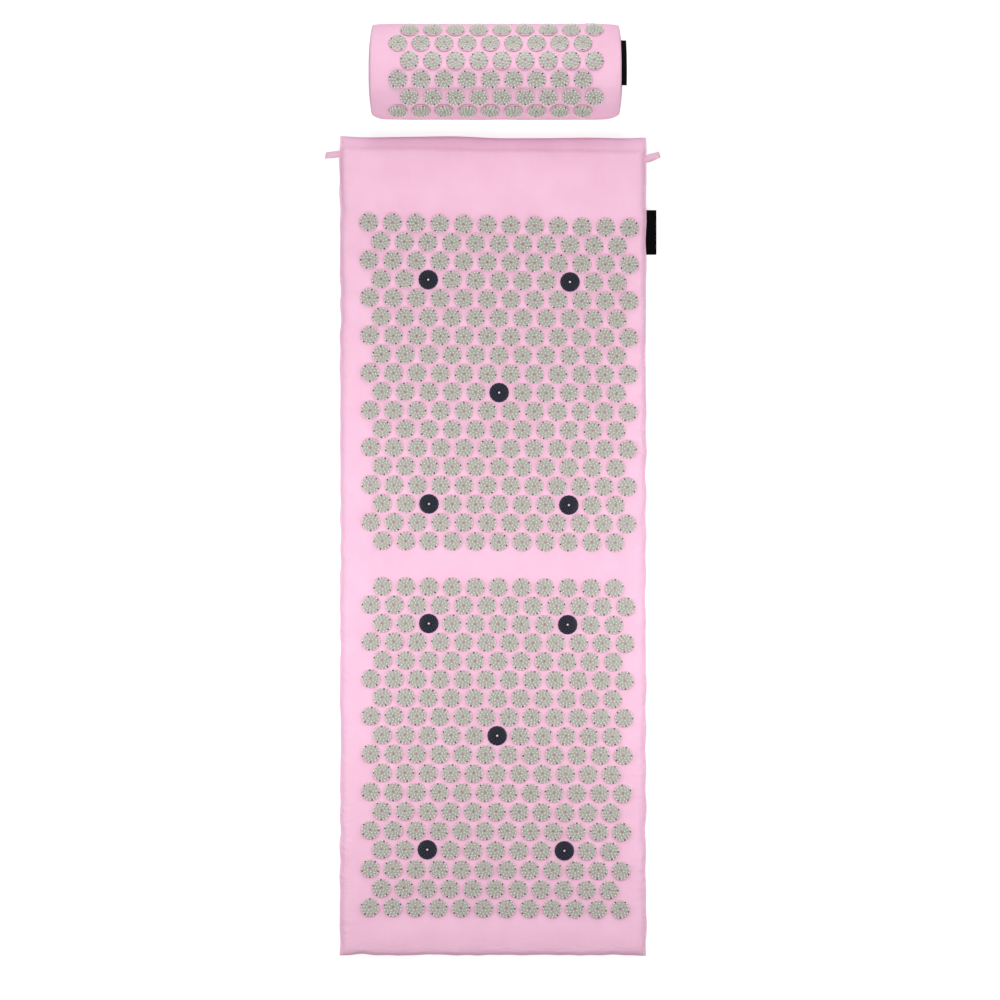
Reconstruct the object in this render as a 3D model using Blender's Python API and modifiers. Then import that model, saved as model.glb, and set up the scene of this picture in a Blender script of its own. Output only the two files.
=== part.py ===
"""Acupressure mat with its half-round neck pillow.

The mat is a cotton cover round a flat foam core. Its top panel carries 36 staggered rows of spiked
plastic discs in two fields, with a plain band between them where the mat folds in half. The pillow is
a D-shaped bolster of the same cloth and discs, and stands 26 mm beyond the mat's head end.

Metres, +Z up. The origin is the centre of the mat's underside. +Y runs to the head end and the pillow,
and +X to the side with the label.
"""

import math

import bpy
import bmesh
from mathutils import Matrix, Vector

# Clearances and working values
GAP = 0.0003
OVERRUN = 0.004
FULL_ROUND_SHARE = 0.98

# Cloth and foam
FABRIC = 0.0010
TAPE = 0.0008
FOAM_THICKNESS = 0.0200

# The mat
MAT_LENGTH = 1.300
MAT_WIDTH = 0.486
EDGE_ROUNDING = 0.0100
EDGE_SEGMENTS = 3
FOLD_SHIFT = 0.0293
FOLD_BAND = 0.0360
FOLDED_TIP_CLEARANCE = 0.0010

# The mat's head end, where the cover runs past the foam as a flat hem
HEM_LENGTH = 0.0250
HEM_RISE = 0.0070
HEM_LOW = 0.0080
HEM_HIGH = 0.0125

# The mat's foot end, where the cover is drawn in over the foam
FOOT_LENGTH = 0.0140
FOOT_TURN = 0.0050
FOOT_TURN_LOW = 0.0025
FOOT_TURN_HIGH = 0.0200
FOOT_LOW = 0.0070
FOOT_HIGH = 0.0150

# The spiked discs, as the envelope of a saucer and its spikes
DISC_RADIUS = 0.0158
DISC_TIP_RADIUS = 0.0128
DISC_HEIGHT = 0.0060
DISC_ROOT = 0.0005
DISC_SIDES = 8
NAVY_RADIUS = 0.0152
NAVY_SIDES = 12
PLUG_RADIUS = 0.0020
PLUG_DEPTH = 0.0030
PLUG_PROUD = 0.0005

# The two fields of discs
ROWS_PER_FIELD = 18
DISCS_IN_LONG_ROW = 12
HEAD_MARGIN = 0.1405
FOOT_MARGIN = 0.0754
FOLD_MARGIN = 0.0361
HEAD_LEFT_MARGIN = 0.0459
HEAD_RIGHT_MARGIN = 0.0267
FOOT_LEFT_MARGIN = 0.0477
FOOT_RIGHT_MARGIN = 0.0410
ROW_DROP = 0.0040
FIRST_ROW_DROP = 0.0067
SLANTED_ROWS = 7
FOOT_ROW_BOW = 0.0042
COLUMN_BOW = 0.0024
NAVY_ROWS_HEAD = {3: (2, 8), 9: (5,), 15: (2, 8)}
NAVY_ROWS_FOOT = {2: (2, 8), 8: (5,), 14: (2, 8)}

# Hanging loops and labels in the seams
LOOP_REACH = 0.0230
LOOP_WIDTH = 0.0100
LOOP_INNER_HEIGHT = 0.0055
LOOP_BEND_POINTS = 7
LEFT_LOOP_FROM_END = 0.0280
RIGHT_LOOP_FROM_END = 0.0365
LEFT_LOOP_TURN_DEG = -6.0
RIGHT_LOOP_TURN_DEG = 20.0
LABEL_LENGTH = 0.0710
LABEL_REACH = 0.0160
LABEL_THICKNESS = 0.0008
LABEL_FROM_END = 0.1880

# Zips
ZIP_TAPE_REACH = 0.0080
ZIP_TAPE_THICKNESS = 0.0005
COIL_WIDTH = 0.0040
COIL_THICKNESS = 0.0018
SLIDER_WIDTH = 0.0080
SLIDER_LENGTH = 0.0100
SLIDER_WALL = 0.0008
SLIDER_POST_LENGTH = 0.0016
SLIDER_POST_WIDTH = 0.0020
BRIDGE_WALL = 0.0008
BRIDGE_WIDTH = 0.0018
PULL_BAR = 0.0010
PULL_LENGTH = 0.0200
PULL_WIDTH = 0.0050
PULL_EYE_LENGTH = 0.0062
STOP_LENGTH = 0.0030
MAT_ZIP_FROM_SIDE = 0.0230
MAT_ZIP_FROM_END = 0.0110
PILLOW_ZIP_FROM_SEAM = 0.0250
PILLOW_ZIP_EDGE_STRIP = 0.0025
ZIP_END_MARGIN = 0.0080

# The pillow
PILLOW_GAP = 0.0260
PILLOW_SHIFT = 0.0040
PILLOW_RADIUS = 0.0762
PILLOW_CENTRE_HEIGHT = 0.0225
PILLOW_COVER_LENGTH = 0.3900
PILLOW_END_BULGE = 0.0050
PILLOW_DISC_ROWS = 6
PILLOW_DISCS_IN_ROW = 9
PILLOW_DISC_ARC = 0.0298
PILLOW_DISC_PITCH = 0.0366
PILLOW_FIELD_LEAN = 0.0021
PILLOW_FIELD_SHIFT = 0.0010
PILLOW_SIDE_ARC = 0.0250
PILLOW_LABEL_SHIFT = 0.0130
PILLOW_LABEL_REACH = 0.0130
PILLOW_LABEL_DROOP_DEG = 45.0
PILLOW_LABEL_SEGMENTS = 6
DOME_RING_SHARES = (0.93, 0.75, 0.45)

# Places and sizes that follow from these
MAT_THICKNESS = FOAM_THICKNESS + 2 * (FABRIC + GAP)
HEAD_END = MAT_LENGTH / 2
FOOT_END = -MAT_LENGTH / 2
FOLD_Y = -FOLD_SHIFT
HALF_WIDTH = MAT_WIDTH / 2
SEAM_HEIGHT = MAT_THICKNESS / 2
DISC_TOP = MAT_THICKNESS + DISC_HEIGHT
FOLD_AXIS_HEIGHT = DISC_TOP + FOLDED_TIP_CLEARANCE
BAND_HEAD_EDGE = FOLD_Y + FOLD_BAND / 2
BAND_FOOT_EDGE = FOLD_Y - FOLD_BAND / 2
PILLOW_Y = HEAD_END + PILLOW_GAP + PILLOW_RADIUS
PILLOW_END = PILLOW_COVER_LENGTH / 2
MAT_ZIP_LENGTH = MAT_WIDTH - 2 * MAT_ZIP_FROM_SIDE
PILLOW_ZIP_LENGTH = PILLOW_COVER_LENGTH - 2 * PILLOW_ZIP_FROM_SEAM
PILLOW_FLOOR = FABRIC + GAP
PILLOW_FOAM_RADIUS = PILLOW_RADIUS - FABRIC - GAP
PLATE_INSIDE = COIL_THICKNESS / 2 + GAP
PLATE_OUTSIDE = PLATE_INSIDE + SLIDER_WALL
PLATE_MIDDLE = PLATE_INSIDE + SLIDER_WALL / 2
PULL_AXIS_HEIGHT = PLATE_OUTSIDE + GAP + PULL_BAR / 2
BRIDGE_INSIDE = PULL_AXIS_HEIGHT + PULL_BAR / 2 + GAP
BRIDGE_OUTSIDE = BRIDGE_INSIDE + BRIDGE_WALL

# Colours as linear red, green, blue
PINK = (0.88, 0.58, 0.76)
SAGE = (0.50, 0.47, 0.45)
NAVY = (0.030, 0.032, 0.050)
WHITE = (0.85, 0.85, 0.85)
BLACK = (0.010, 0.010, 0.012)
FOAM_CREAM = (0.80, 0.74, 0.62)
ZIP_PINK = (0.80, 0.45, 0.62)
NICKEL = (0.62, 0.61, 0.60)


def clear_scene():
    for old in list(bpy.data.objects):
        bpy.data.objects.remove(old, do_unlink=True)


def new_collection(name):
    collection = bpy.data.collections.new(name)
    bpy.context.scene.collection.children.link(collection)
    return collection


def material(name, colour, roughness, metallic=0.0):
    made = bpy.data.materials.new(name)
    made.use_nodes = True
    shader = made.node_tree.nodes["Principled BSDF"]
    shader.inputs["Base Color"].default_value = (*colour, 1.0)
    shader.inputs["Roughness"].default_value = roughness
    shader.inputs["Metallic"].default_value = metallic
    made.diffuse_color = (*colour, 1.0)
    return made


def mesh_object(name, bm, collection, finish=None):
    """Turns a bmesh into an object whose faces point outwards."""
    bmesh.ops.recalc_face_normals(bm, faces=bm.faces)
    mesh = bpy.data.meshes.new(name)
    bm.to_mesh(mesh)
    bm.free()
    made = bpy.data.objects.new(name, mesh)
    collection.objects.link(made)
    if finish:
        mesh.materials.append(finish)
    return made


def piece(name, bm, finish):
    return mesh_object(name, bm, PARTS, finish)


def cutter(name, bm, finish=None):
    made = mesh_object(name, bm, CUTTERS, finish)
    made.hide_render = True
    made.display_type = "WIRE"
    return made


def boolean(target, tool, operation):
    """Cuts or joins with a tool, whose faces keep their own material."""
    change = target.modifiers.new(operation.lower() + "_" + tool.name, "BOOLEAN")
    change.operation = operation
    change.object = tool
    change.material_mode = "TRANSFER"
    return change


def box(bm, low, high):
    """Adds a box between two corners."""
    low = Vector(low)
    high = Vector(high)
    place = Matrix.Translation((low + high) / 2) @ Matrix.Diagonal((*(high - low), 1.0))
    bmesh.ops.create_cube(bm, size=1.0, matrix=place)


def frustum(bm, radius_low, radius_high, low, high, sides, place=None):
    """Adds a closed cone frustum about Z, turned so that a flat side faces +X."""
    turn = Matrix.Rotation(math.pi / sides, 4, "Z")
    here = Matrix.Translation((0, 0, (low + high) / 2)) @ turn
    bmesh.ops.create_cone(
        bm,
        cap_ends=True,
        segments=sides,
        radius1=radius_low,
        radius2=radius_high,
        depth=high - low,
        matrix=place @ here if place else here,
    )


def loft(bm, rings):
    """Joins closed rings of equally many points with quads, and closes both ends."""
    rows = [[bm.verts.new(point) for point in ring] for ring in rings]
    count = len(rows[0])
    for near, far in zip(rows, rows[1:]):
        for i in range(count):
            j = (i + 1) % count
            bm.faces.new((near[i], near[j], far[j], far[i]))
    bm.faces.new(rows[0])
    bm.faces.new(rows[-1])


def hang_from(made, empty):
    """Parents an object to an empty without moving it."""
    made.parent = empty
    made.location = made.location - empty.location


def empty_at(name, place):
    made = bpy.data.objects.new(name, None)
    made.location = place
    PARTS.objects.link(made)
    return made


# The mat's cover and foam

def rounded_ring(y, low, high, half_width, rounding):
    """A rectangle in X and Z with round corners, limited by its own height."""
    radius = min(rounding, (high - low) / 2 * FULL_ROUND_SHARE)
    points = []
    for corner, (side_x, side_z) in enumerate(((1, 1), (-1, 1), (-1, -1), (1, -1))):
        centre_x = side_x * (half_width - radius)
        centre_z = high - radius if side_z > 0 else low + radius
        for step in range(EDGE_SEGMENTS + 1):
            angle = math.pi / 2 * (corner + step / EDGE_SEGMENTS)
            x = centre_x + radius * math.cos(angle)
            z = centre_z + radius * math.sin(angle)
            points.append((x, y, z))
    return points


def head_sections(near):
    """Stations along the head half: place, underside and top of the cover."""
    hem_start = HEAD_END - HEM_LENGTH
    lifted = hem_start + HEM_RISE
    fall = (MAT_THICKNESS - HEM_HIGH) * HEM_RISE / HEM_LENGTH
    return [
        (near, 0.0, MAT_THICKNESS),
        (hem_start, 0.0, MAT_THICKNESS),
        (lifted, HEM_LOW, MAT_THICKNESS - fall / 2),
        (HEAD_END, HEM_LOW, HEM_HIGH),
    ]


def foot_sections(near):
    """Stations along the foot half, from the fold to the drawn-in end."""
    return [
        (near, 0.0, MAT_THICKNESS),
        (FOOT_END + FOOT_LENGTH, 0.0, MAT_THICKNESS),
        (FOOT_END + FOOT_TURN, FOOT_TURN_LOW, FOOT_TURN_HIGH),
        (FOOT_END, FOOT_LOW, FOOT_HIGH),
    ]


def band_sections():
    return [(BAND_FOOT_EDGE, 0.0, MAT_THICKNESS), (BAND_HEAD_EDGE, 0.0, MAT_THICKNESS)]


def outer_form(sections):
    bm = bmesh.new()
    loft(bm, [rounded_ring(y, low, high, HALF_WIDTH, EDGE_ROUNDING) for y, low, high in sections])
    return bm


def inner_form(sections, open_ends):
    """The hollow of the cover: one cloth thickness inside it, and past it where it is open."""
    rings = []
    last = len(sections) - 1
    for index, (y, low, high) in enumerate(sections):
        if index in (0, last):
            outward = math.copysign(1.0, y - sections[1 if index == 0 else last - 1][0])
            y = y + outward * OVERRUN if (index == 0 or open_ends) else y - outward * FABRIC
        rings.append(
            rounded_ring(y, low + FABRIC, high - FABRIC, HALF_WIDTH - FABRIC, EDGE_ROUNDING - FABRIC)
        )
    bm = bmesh.new()
    loft(bm, rings)
    return bm


def seam_region(sections, above):
    """Everything above, or below, the seam half way up the cover's edge."""
    rings = []
    reach = HALF_WIDTH + OVERRUN
    last = len(sections) - 1
    for index, (y, low, high) in enumerate(sections):
        if index in (0, last):
            y = y + math.copysign(OVERRUN, y - sections[1 if index == 0 else last - 1][0])
        seam = (low + high) / 2 + (GAP if above else -GAP) / 2
        far = MAT_THICKNESS + OVERRUN if above else -OVERRUN
        rings.append([(-reach, y, seam), (reach, y, seam), (reach, y, far), (-reach, y, far)])
    bm = bmesh.new()
    loft(bm, rings)
    return bm


def cover_panels(name, sections, open_ends, finish):
    """The top and bottom panels of one stretch of the cover."""
    hollow = cutter(name + "_hollow", inner_form(sections, open_ends))
    panels = []
    for side, above in (("top", True), ("bottom", False)):
        panel = piece(name + "_" + side + "_panel", outer_form(sections), finish)
        region = cutter(name + "_" + side + "_region", seam_region(sections, above))
        boolean(panel, region, "INTERSECT")
        boolean(panel, hollow, "DIFFERENCE")
        panels.append(panel)
    return panels


def foam_slab(name, sections, finish):
    """One stretch of the foam core, a gap inside the cover."""
    inset = FABRIC + GAP
    rings = [
        rounded_ring(y, low + inset, high - inset, HALF_WIDTH - inset, EDGE_ROUNDING - inset)
        for y, low, high in sections
    ]
    bm = bmesh.new()
    loft(bm, rings)
    return piece(name, bm, finish)


# The discs

def row_places(field, row):
    """Centres of one row's discs. Rows are counted from the head end in each field."""
    share = row / (ROWS_PER_FIELD - 1)
    first_head = HEAD_END - HEAD_MARGIN
    if field == "head":
        y = first_head + (FOLD_Y + FOLD_MARGIN - first_head) * share
    else:
        y = FOLD_Y - FOLD_MARGIN + (FOOT_END + FOOT_MARGIN - FOLD_Y + FOLD_MARGIN) * share
    last_foot = FOOT_END + FOOT_MARGIN
    along = (first_head - y) / (first_head - last_foot)
    drop = ROW_DROP
    if field == "head":
        drop += FIRST_ROW_DROP * max(0.0, 1.0 - row / SLANTED_ROWS)
    else:
        y += FOOT_ROW_BOW * math.sin(math.pi * share)
    left = HEAD_LEFT_MARGIN + (FOOT_LEFT_MARGIN - HEAD_LEFT_MARGIN) * along
    right = HEAD_RIGHT_MARGIN + (FOOT_RIGHT_MARGIN - HEAD_RIGHT_MARGIN) * along
    pitch = (MAT_WIDTH - left - right) / (DISCS_IN_LONG_ROW - 1)
    long_row = (row % 2 == 0) == (field == "head")
    count = DISCS_IN_LONG_ROW if long_row else DISCS_IN_LONG_ROW - 1
    bow = COLUMN_BOW * math.sin(math.pi * along)
    start = -HALF_WIDTH + left + bow + (0.0 if long_row else pitch / 2)
    places = []
    for index in range(count):
        x = start + index * pitch
        places.append((x, y - drop * x / MAT_WIDTH))
    return places


def disc_places(field):
    """The places of the pale discs and of the navy discs in one field."""
    navy_rows = NAVY_ROWS_HEAD if field == "head" else NAVY_ROWS_FOOT
    pale = []
    navy = []
    for row in range(ROWS_PER_FIELD):
        for index, place in enumerate(row_places(field, row)):
            (navy if index in navy_rows.get(row, ()) else pale).append(place)
    return pale, navy


def add_pale_discs(panel, name, places, finish):
    """Joins the pale discs to their panel, as envelopes of a saucer and its spikes."""
    root = MAT_THICKNESS - DISC_ROOT
    bm = bmesh.new()
    for x, y in places:
        place = Matrix.Translation((x, y, 0))
        frustum(bm, DISC_RADIUS, DISC_TIP_RADIUS, root, DISC_TOP, DISC_SIDES, place)
    boolean(panel, cutter(name, bm, finish), "UNION")


def navy_disc(name, place, finish):
    """A navy disc with a round socket in the middle of its face."""
    bm = bmesh.new()
    frustum(bm, NAVY_RADIUS, DISC_TIP_RADIUS, GAP, DISC_HEIGHT, NAVY_SIDES)
    disc = piece(name, bm, finish)
    disc.location = (*place, MAT_THICKNESS)
    bm = bmesh.new()
    socket_radius = PLUG_RADIUS + GAP
    floor = DISC_HEIGHT - PLUG_DEPTH
    frustum(bm, socket_radius, socket_radius, floor, DISC_HEIGHT + OVERRUN, DISC_SIDES)
    socket = cutter(name + "_socket", bm)
    socket.location = disc.location
    boolean(disc, socket, "DIFFERENCE")
    return disc


def disc_plug(name, place, finish):
    """The white plug, which sits in its disc's socket and stands a little proud."""
    bm = bmesh.new()
    floor = DISC_HEIGHT - PLUG_DEPTH + GAP
    frustum(bm, PLUG_RADIUS, PLUG_RADIUS, floor, DISC_HEIGHT + PLUG_PROUD, DISC_SIDES)
    plug = piece(name, bm, finish)
    plug.location = (*place, MAT_THICKNESS)
    return plug


# Loops and labels

def hang_loop(name, side, turn_deg, from_end, finish):
    """A folded tape whose two tails meet the side seam, side -1 on the left and 1 on the right."""
    bend = (LOOP_INNER_HEIGHT + TAPE) / 2
    path = [(0.0, bend)]
    for step in range(LOOP_BEND_POINTS):
        angle = math.pi / 2 - math.pi * step / (LOOP_BEND_POINTS - 1)
        path.append((LOOP_REACH - bend + bend * math.cos(angle), bend * math.sin(angle)))
    path.append((0.0, -bend))
    bm = bmesh.new()
    half_width = LOOP_WIDTH / 2
    near = [bm.verts.new((side * x, -half_width, z)) for x, z in path]
    far = [bm.verts.new((side * x, half_width, z)) for x, z in path]
    for i in range(len(path) - 1):
        bm.faces.new((near[i], near[i + 1], far[i + 1], far[i]))
    loop = piece(name, bm, finish)
    thicken = loop.modifiers.new("tape", "SOLIDIFY")
    thicken.thickness = TAPE
    thicken.offset = 0.0
    turn = math.radians(turn_deg)
    root = HALF_WIDTH + GAP + half_width * abs(math.sin(turn))
    loop.location = (side * root, HEAD_END - from_end, SEAM_HEIGHT)
    loop.rotation_euler = (0, 0, side * turn)
    return loop


def mat_label(finish):
    """The folded label, a flat tab in the right-hand seam."""
    bm = bmesh.new()
    root = HALF_WIDTH + GAP
    top = LABEL_THICKNESS / 2
    box(bm, (root, -LABEL_LENGTH / 2, -top), (root + LABEL_REACH, LABEL_LENGTH / 2, top))
    label = piece("mat_label", bm, finish)
    label.location = (0, HEAD_END - LABEL_FROM_END + LABEL_LENGTH / 2, SEAM_HEIGHT)
    return label


# Zips. Each is drawn with X along it, Y across it and Z out of the cover.

def zip_frame(origin, angle):
    """Turns a zip's own axes so that Z leans by the angle from straight up towards +Y."""
    return Matrix.Translation(origin) @ Matrix.Rotation(-angle, 4, "X")


def zip_slot(name, frame, length):
    """The slot in the cover that the two tapes fill."""
    bm = bmesh.new()
    reach_x = length / 2 + GAP
    reach_y = ZIP_TAPE_REACH + GAP
    box(bm, (-reach_x, -reach_y, -FABRIC), (reach_x, reach_y, FABRIC))
    slot = cutter(name, bm)
    slot.matrix_world = frame
    return slot


def zip_parts(prefix, sides, frame, length, finishes):
    """Both tapes, the coil, its end stop, the slider and the pull of one closed zip."""
    metal_finish = finishes["metal"]
    half_length = length / 2
    half_coil = COIL_WIDTH / 2
    half_tape = ZIP_TAPE_THICKNESS / 2
    half_thick = COIL_THICKNESS / 2
    closed_x = half_length - ZIP_END_MARGIN
    fixed = []
    for side, sign in zip(sides, (1, -1)):
        bm = bmesh.new()
        edges = sorted((sign * (half_coil + GAP), sign * ZIP_TAPE_REACH))
        box(bm, (-half_length, edges[0], -half_tape), (half_length, edges[1], half_tape))
        fixed.append(piece(prefix + "_zip_tape_" + side, bm, finishes["zip_tape"]))
    bm = bmesh.new()
    coil_start = -half_length + ZIP_END_MARGIN
    box(bm, (coil_start, -half_coil, -half_thick), (closed_x, half_coil, half_thick))
    fixed.append(piece(prefix + "_zip_coil", bm, finishes["zip_coil"]))
    bm = bmesh.new()
    stop_end = coil_start - GAP
    box(bm, (stop_end - STOP_LENGTH, -half_coil, -half_thick), (stop_end, half_coil, half_thick))
    fixed.append(piece(prefix + "_zip_stop", bm, metal_finish))
    for made in fixed:
        made.matrix_world = frame
    slider = zip_slider(prefix, metal_finish)
    slider.matrix_world = frame @ Matrix.Translation((closed_x, 0, 0))
    pull = zip_pull(prefix, metal_finish)
    pull.matrix_world = frame @ Matrix.Translation((closed_x, 0, PULL_AXIS_HEIGHT))
    return [*fixed, slider, pull]


def zip_slider(prefix, finish):
    """Two plates joined by a post at the open end, with flanges over the tapes and a bridge."""
    half_width = SLIDER_WIDTH / 2
    half_length = SLIDER_LENGTH / 2
    flange_gap = ZIP_TAPE_THICKNESS / 2 + GAP
    flange_inside = half_width - SLIDER_WALL
    shapes = []
    for low, high in ((PLATE_INSIDE, PLATE_OUTSIDE), (-PLATE_OUTSIDE, -PLATE_INSIDE)):
        shapes.append(((-half_length, -half_width, low), (half_length, half_width, high)))
    post_half = SLIDER_POST_WIDTH / 2
    post_end = GAP + SLIDER_POST_LENGTH
    shapes.append(((GAP, -post_half, -PLATE_MIDDLE), (post_end, post_half, PLATE_MIDDLE)))
    for sign in (1, -1):
        edges = sorted((sign * flange_inside, sign * half_width))
        for level in (1, -1):
            heights = sorted((level * flange_gap, level * PLATE_MIDDLE))
            shapes.append(((-half_length, edges[0], heights[0]), (half_length, edges[1], heights[1])))
    bridge_half = BRIDGE_WIDTH / 2
    leg_far = half_length - BRIDGE_WALL
    leg_near = leg_far - BRIDGE_WALL
    for sign in (1, -1):
        edges = sorted((sign * leg_near, sign * leg_far))
        shapes.append(((edges[0], -bridge_half, PLATE_MIDDLE), (edges[1], bridge_half, BRIDGE_OUTSIDE)))
    shapes.append(((-leg_far, -bridge_half, BRIDGE_INSIDE), (leg_far, bridge_half, BRIDGE_OUTSIDE)))
    return union_of_boxes(prefix + "_zip_slider", shapes, finish)


def union_of_boxes(name, shapes, finish):
    """One body from boxes that touch or overlap."""
    bm = bmesh.new()
    box(bm, *shapes[0])
    made = piece(name, bm, finish)
    bm = bmesh.new()
    for low, high in shapes[1:]:
        box(bm, low, high)
    rest = cutter(name + "_rest", bm, finish)
    rest.parent = made
    boolean(made, rest, "UNION").use_self = True
    return made


def zip_pull(prefix, finish):
    """The pull tab, with an eye round the slider's bridge. It lies back along the closed coil."""
    half_bar = PULL_BAR / 2
    bm = bmesh.new()
    half_width = PULL_WIDTH / 2
    box(bm, (-PULL_LENGTH, -half_width, -half_bar), (half_bar, half_width, half_bar))
    pull = piece(prefix + "_zip_pull", bm, finish)
    bm = bmesh.new()
    eye_half = BRIDGE_WIDTH / 2 + GAP
    box(bm, (-half_bar - PULL_EYE_LENGTH, -eye_half, -OVERRUN), (-half_bar, eye_half, OVERRUN))
    eye = cutter(prefix + "_zip_pull_eye", bm)
    eye.parent = pull
    boolean(pull, eye, "DIFFERENCE")
    return pull


# The pillow, drawn about the middle of its base

def pillow_row_angles():
    """Angle of each row of discs from straight up, towards +Y, from back to front."""
    step = PILLOW_DISC_ARC / PILLOW_RADIUS
    lean = PILLOW_FIELD_LEAN / PILLOW_RADIUS
    middle = (PILLOW_DISC_ROWS - 1) / 2
    return [lean + (middle - row) * step for row in range(PILLOW_DISC_ROWS)]


def pillow_flats():
    """Angles of all the flats of the cover: the rows of discs, and two plain flats at each side."""
    rows = pillow_row_angles()
    corner = math.pi - math.acos(PILLOW_CENTRE_HEIGHT / PILLOW_RADIUS)
    lowest = corner - PILLOW_SIDE_ARC / PILLOW_RADIUS / 2
    back = [lowest, (lowest + rows[0]) / 2]
    front = [(rows[-1] - lowest) / 2, -lowest]
    return back + rows + front


def flat_at_height(radius, angle, height):
    """Where a flat that touches the circle at this angle crosses a height, as Y and Z."""
    rise = height - PILLOW_CENTRE_HEIGHT
    return ((radius - rise * math.cos(angle)) / math.sin(angle), height)


def pillow_profile(radius):
    """The D in Y and Z: flats that touch a circle of this radius, cut off above the base panel."""
    flats = pillow_flats()
    points = [flat_at_height(radius, flats[0], PILLOW_FLOOR)]
    for first, second in zip(flats, flats[1:]):
        middle = (first + second) / 2
        reach = radius / math.cos((first - second) / 2)
        points.append((reach * math.sin(middle), PILLOW_CENTRE_HEIGHT + reach * math.cos(middle)))
    points.append(flat_at_height(radius, flats[-1], PILLOW_FLOOR))
    return points


def pillow_cover(finish, disc_finish):
    """The D-shaped cover, open below and at both ends, with its discs on the flats."""
    profile = pillow_profile(PILLOW_RADIUS) + pillow_profile(PILLOW_RADIUS - FABRIC)[::-1]
    bm = bmesh.new()
    loft(bm, [[(x, y, z) for y, z in profile] for x in (-PILLOW_END, PILLOW_END)])
    cover = piece("pillow_cover", bm, finish)
    bm = bmesh.new()
    stagger = PILLOW_DISC_PITCH / 4
    outwards = Matrix.Translation((0, 0, PILLOW_RADIUS))
    for number, angle in enumerate(pillow_row_angles()):
        shift = PILLOW_FIELD_SHIFT + (stagger if number % 2 == 0 else -stagger)
        for index in range(PILLOW_DISCS_IN_ROW):
            x = shift + (index - (PILLOW_DISCS_IN_ROW - 1) / 2) * PILLOW_DISC_PITCH
            centre = Matrix.Translation((x, 0, PILLOW_CENTRE_HEIGHT))
            place = centre @ Matrix.Rotation(-angle, 4, "X") @ outwards
            frustum(bm, DISC_RADIUS, DISC_TIP_RADIUS, -DISC_ROOT, DISC_HEIGHT, DISC_SIDES, place)
    discs = cutter("pillow_pale_discs", bm, disc_finish)
    boolean(cover, discs, "UNION")
    return cover, discs


def dome_rings(outline, near, side, shift):
    """Shrinking copies of an outline in Y and Z that rise towards the middle as a shallow dome."""
    centre_y = sum(y for y, z in outline) / len(outline)
    centre_z = sum(z for y, z in outline) / len(outline)
    rings = []
    for share in (1.0, *DOME_RING_SHARES):
        x = side * (near + shift + PILLOW_END_BULGE * (1.0 - share * share))
        ring = []
        for y, z in outline:
            ring.append((x, centre_y + (y - centre_y) * share, centre_z + (z - centre_z) * share))
        rings.append(ring)
    return rings


def pillow_end_panel(name, side, finish):
    """One bulging D-shaped end, a single cloth thickness."""
    outline = pillow_profile(PILLOW_RADIUS)
    inside = dome_rings(outline, PILLOW_END, side, GAP)
    outside = dome_rings(outline, PILLOW_END, side, GAP + FABRIC)
    bm = bmesh.new()
    loft(bm, inside[::-1] + outside)
    return piece(name, bm, finish)


def pillow_core(finish):
    """The foam bolster, with a bulge at each end."""
    outline = pillow_profile(PILLOW_FOAM_RADIUS)
    bm = bmesh.new()
    loft(bm, dome_rings(outline, PILLOW_END, -1, 0)[::-1] + dome_rings(outline, PILLOW_END, 1, 0))
    return piece("pillow_core", bm, finish)


def core_groove(frame):
    """The groove in the foam behind the zip, which its slider runs in."""
    reach_x = PILLOW_ZIP_LENGTH / 2
    reach_y = SLIDER_WIDTH / 2 + FABRIC
    bm = bmesh.new()
    box(bm, (-reach_x, -reach_y, -PLATE_OUTSIDE - FABRIC), (reach_x, reach_y, FABRIC))
    groove = cutter("pillow_core_groove", bm)
    groove.matrix_world = frame
    return groove


def pillow_base(finish):
    """The flat base panel, under the cover and both end panels."""
    reach_y = flat_at_height(PILLOW_RADIUS, pillow_flats()[0], PILLOW_FLOOR)[0]
    reach_x = PILLOW_END + GAP + FABRIC
    bm = bmesh.new()
    box(bm, (-reach_x, -reach_y, 0), (reach_x, reach_y, FABRIC))
    return piece("pillow_base_panel", bm, finish)


def pillow_label(finish):
    """The label in the right-hand end seam: a strip that follows the seam and droops outwards."""
    root = PILLOW_END + GAP + FABRIC + LABEL_THICKNESS + GAP
    droop = math.radians(PILLOW_LABEL_DROOP_DEG)
    reach_x = PILLOW_LABEL_REACH * math.cos(droop)
    reach_z = PILLOW_LABEL_REACH * math.sin(droop)
    bm = bmesh.new()
    inner = []
    outer = []
    for step in range(PILLOW_LABEL_SEGMENTS + 1):
        y = PILLOW_LABEL_SHIFT - LABEL_LENGTH / 2 + LABEL_LENGTH * step / PILLOW_LABEL_SEGMENTS
        z = PILLOW_CENTRE_HEIGHT + math.sqrt(PILLOW_RADIUS**2 - y**2)
        inner.append(bm.verts.new((root, y, z)))
        outer.append(bm.verts.new((root + reach_x, y, z - reach_z)))
    for i in range(PILLOW_LABEL_SEGMENTS):
        bm.faces.new((inner[i], outer[i], outer[i + 1], inner[i + 1]))
    label = piece("pillow_label", bm, finish)
    thicken = label.modifiers.new("cloth", "SOLIDIFY")
    thicken.thickness = LABEL_THICKNESS
    thicken.offset = 0.0
    return label


def pillow_zip_frame():
    """The zip lies in the lowest flat at the back, half way through the cloth."""
    angle = pillow_flats()[0]
    middle_height = PILLOW_FLOOR + ZIP_TAPE_REACH + PILLOW_ZIP_EDGE_STRIP
    y, z = flat_at_height(PILLOW_RADIUS - FABRIC / 2, angle, middle_height)
    return zip_frame((0, y, z), angle)


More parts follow.
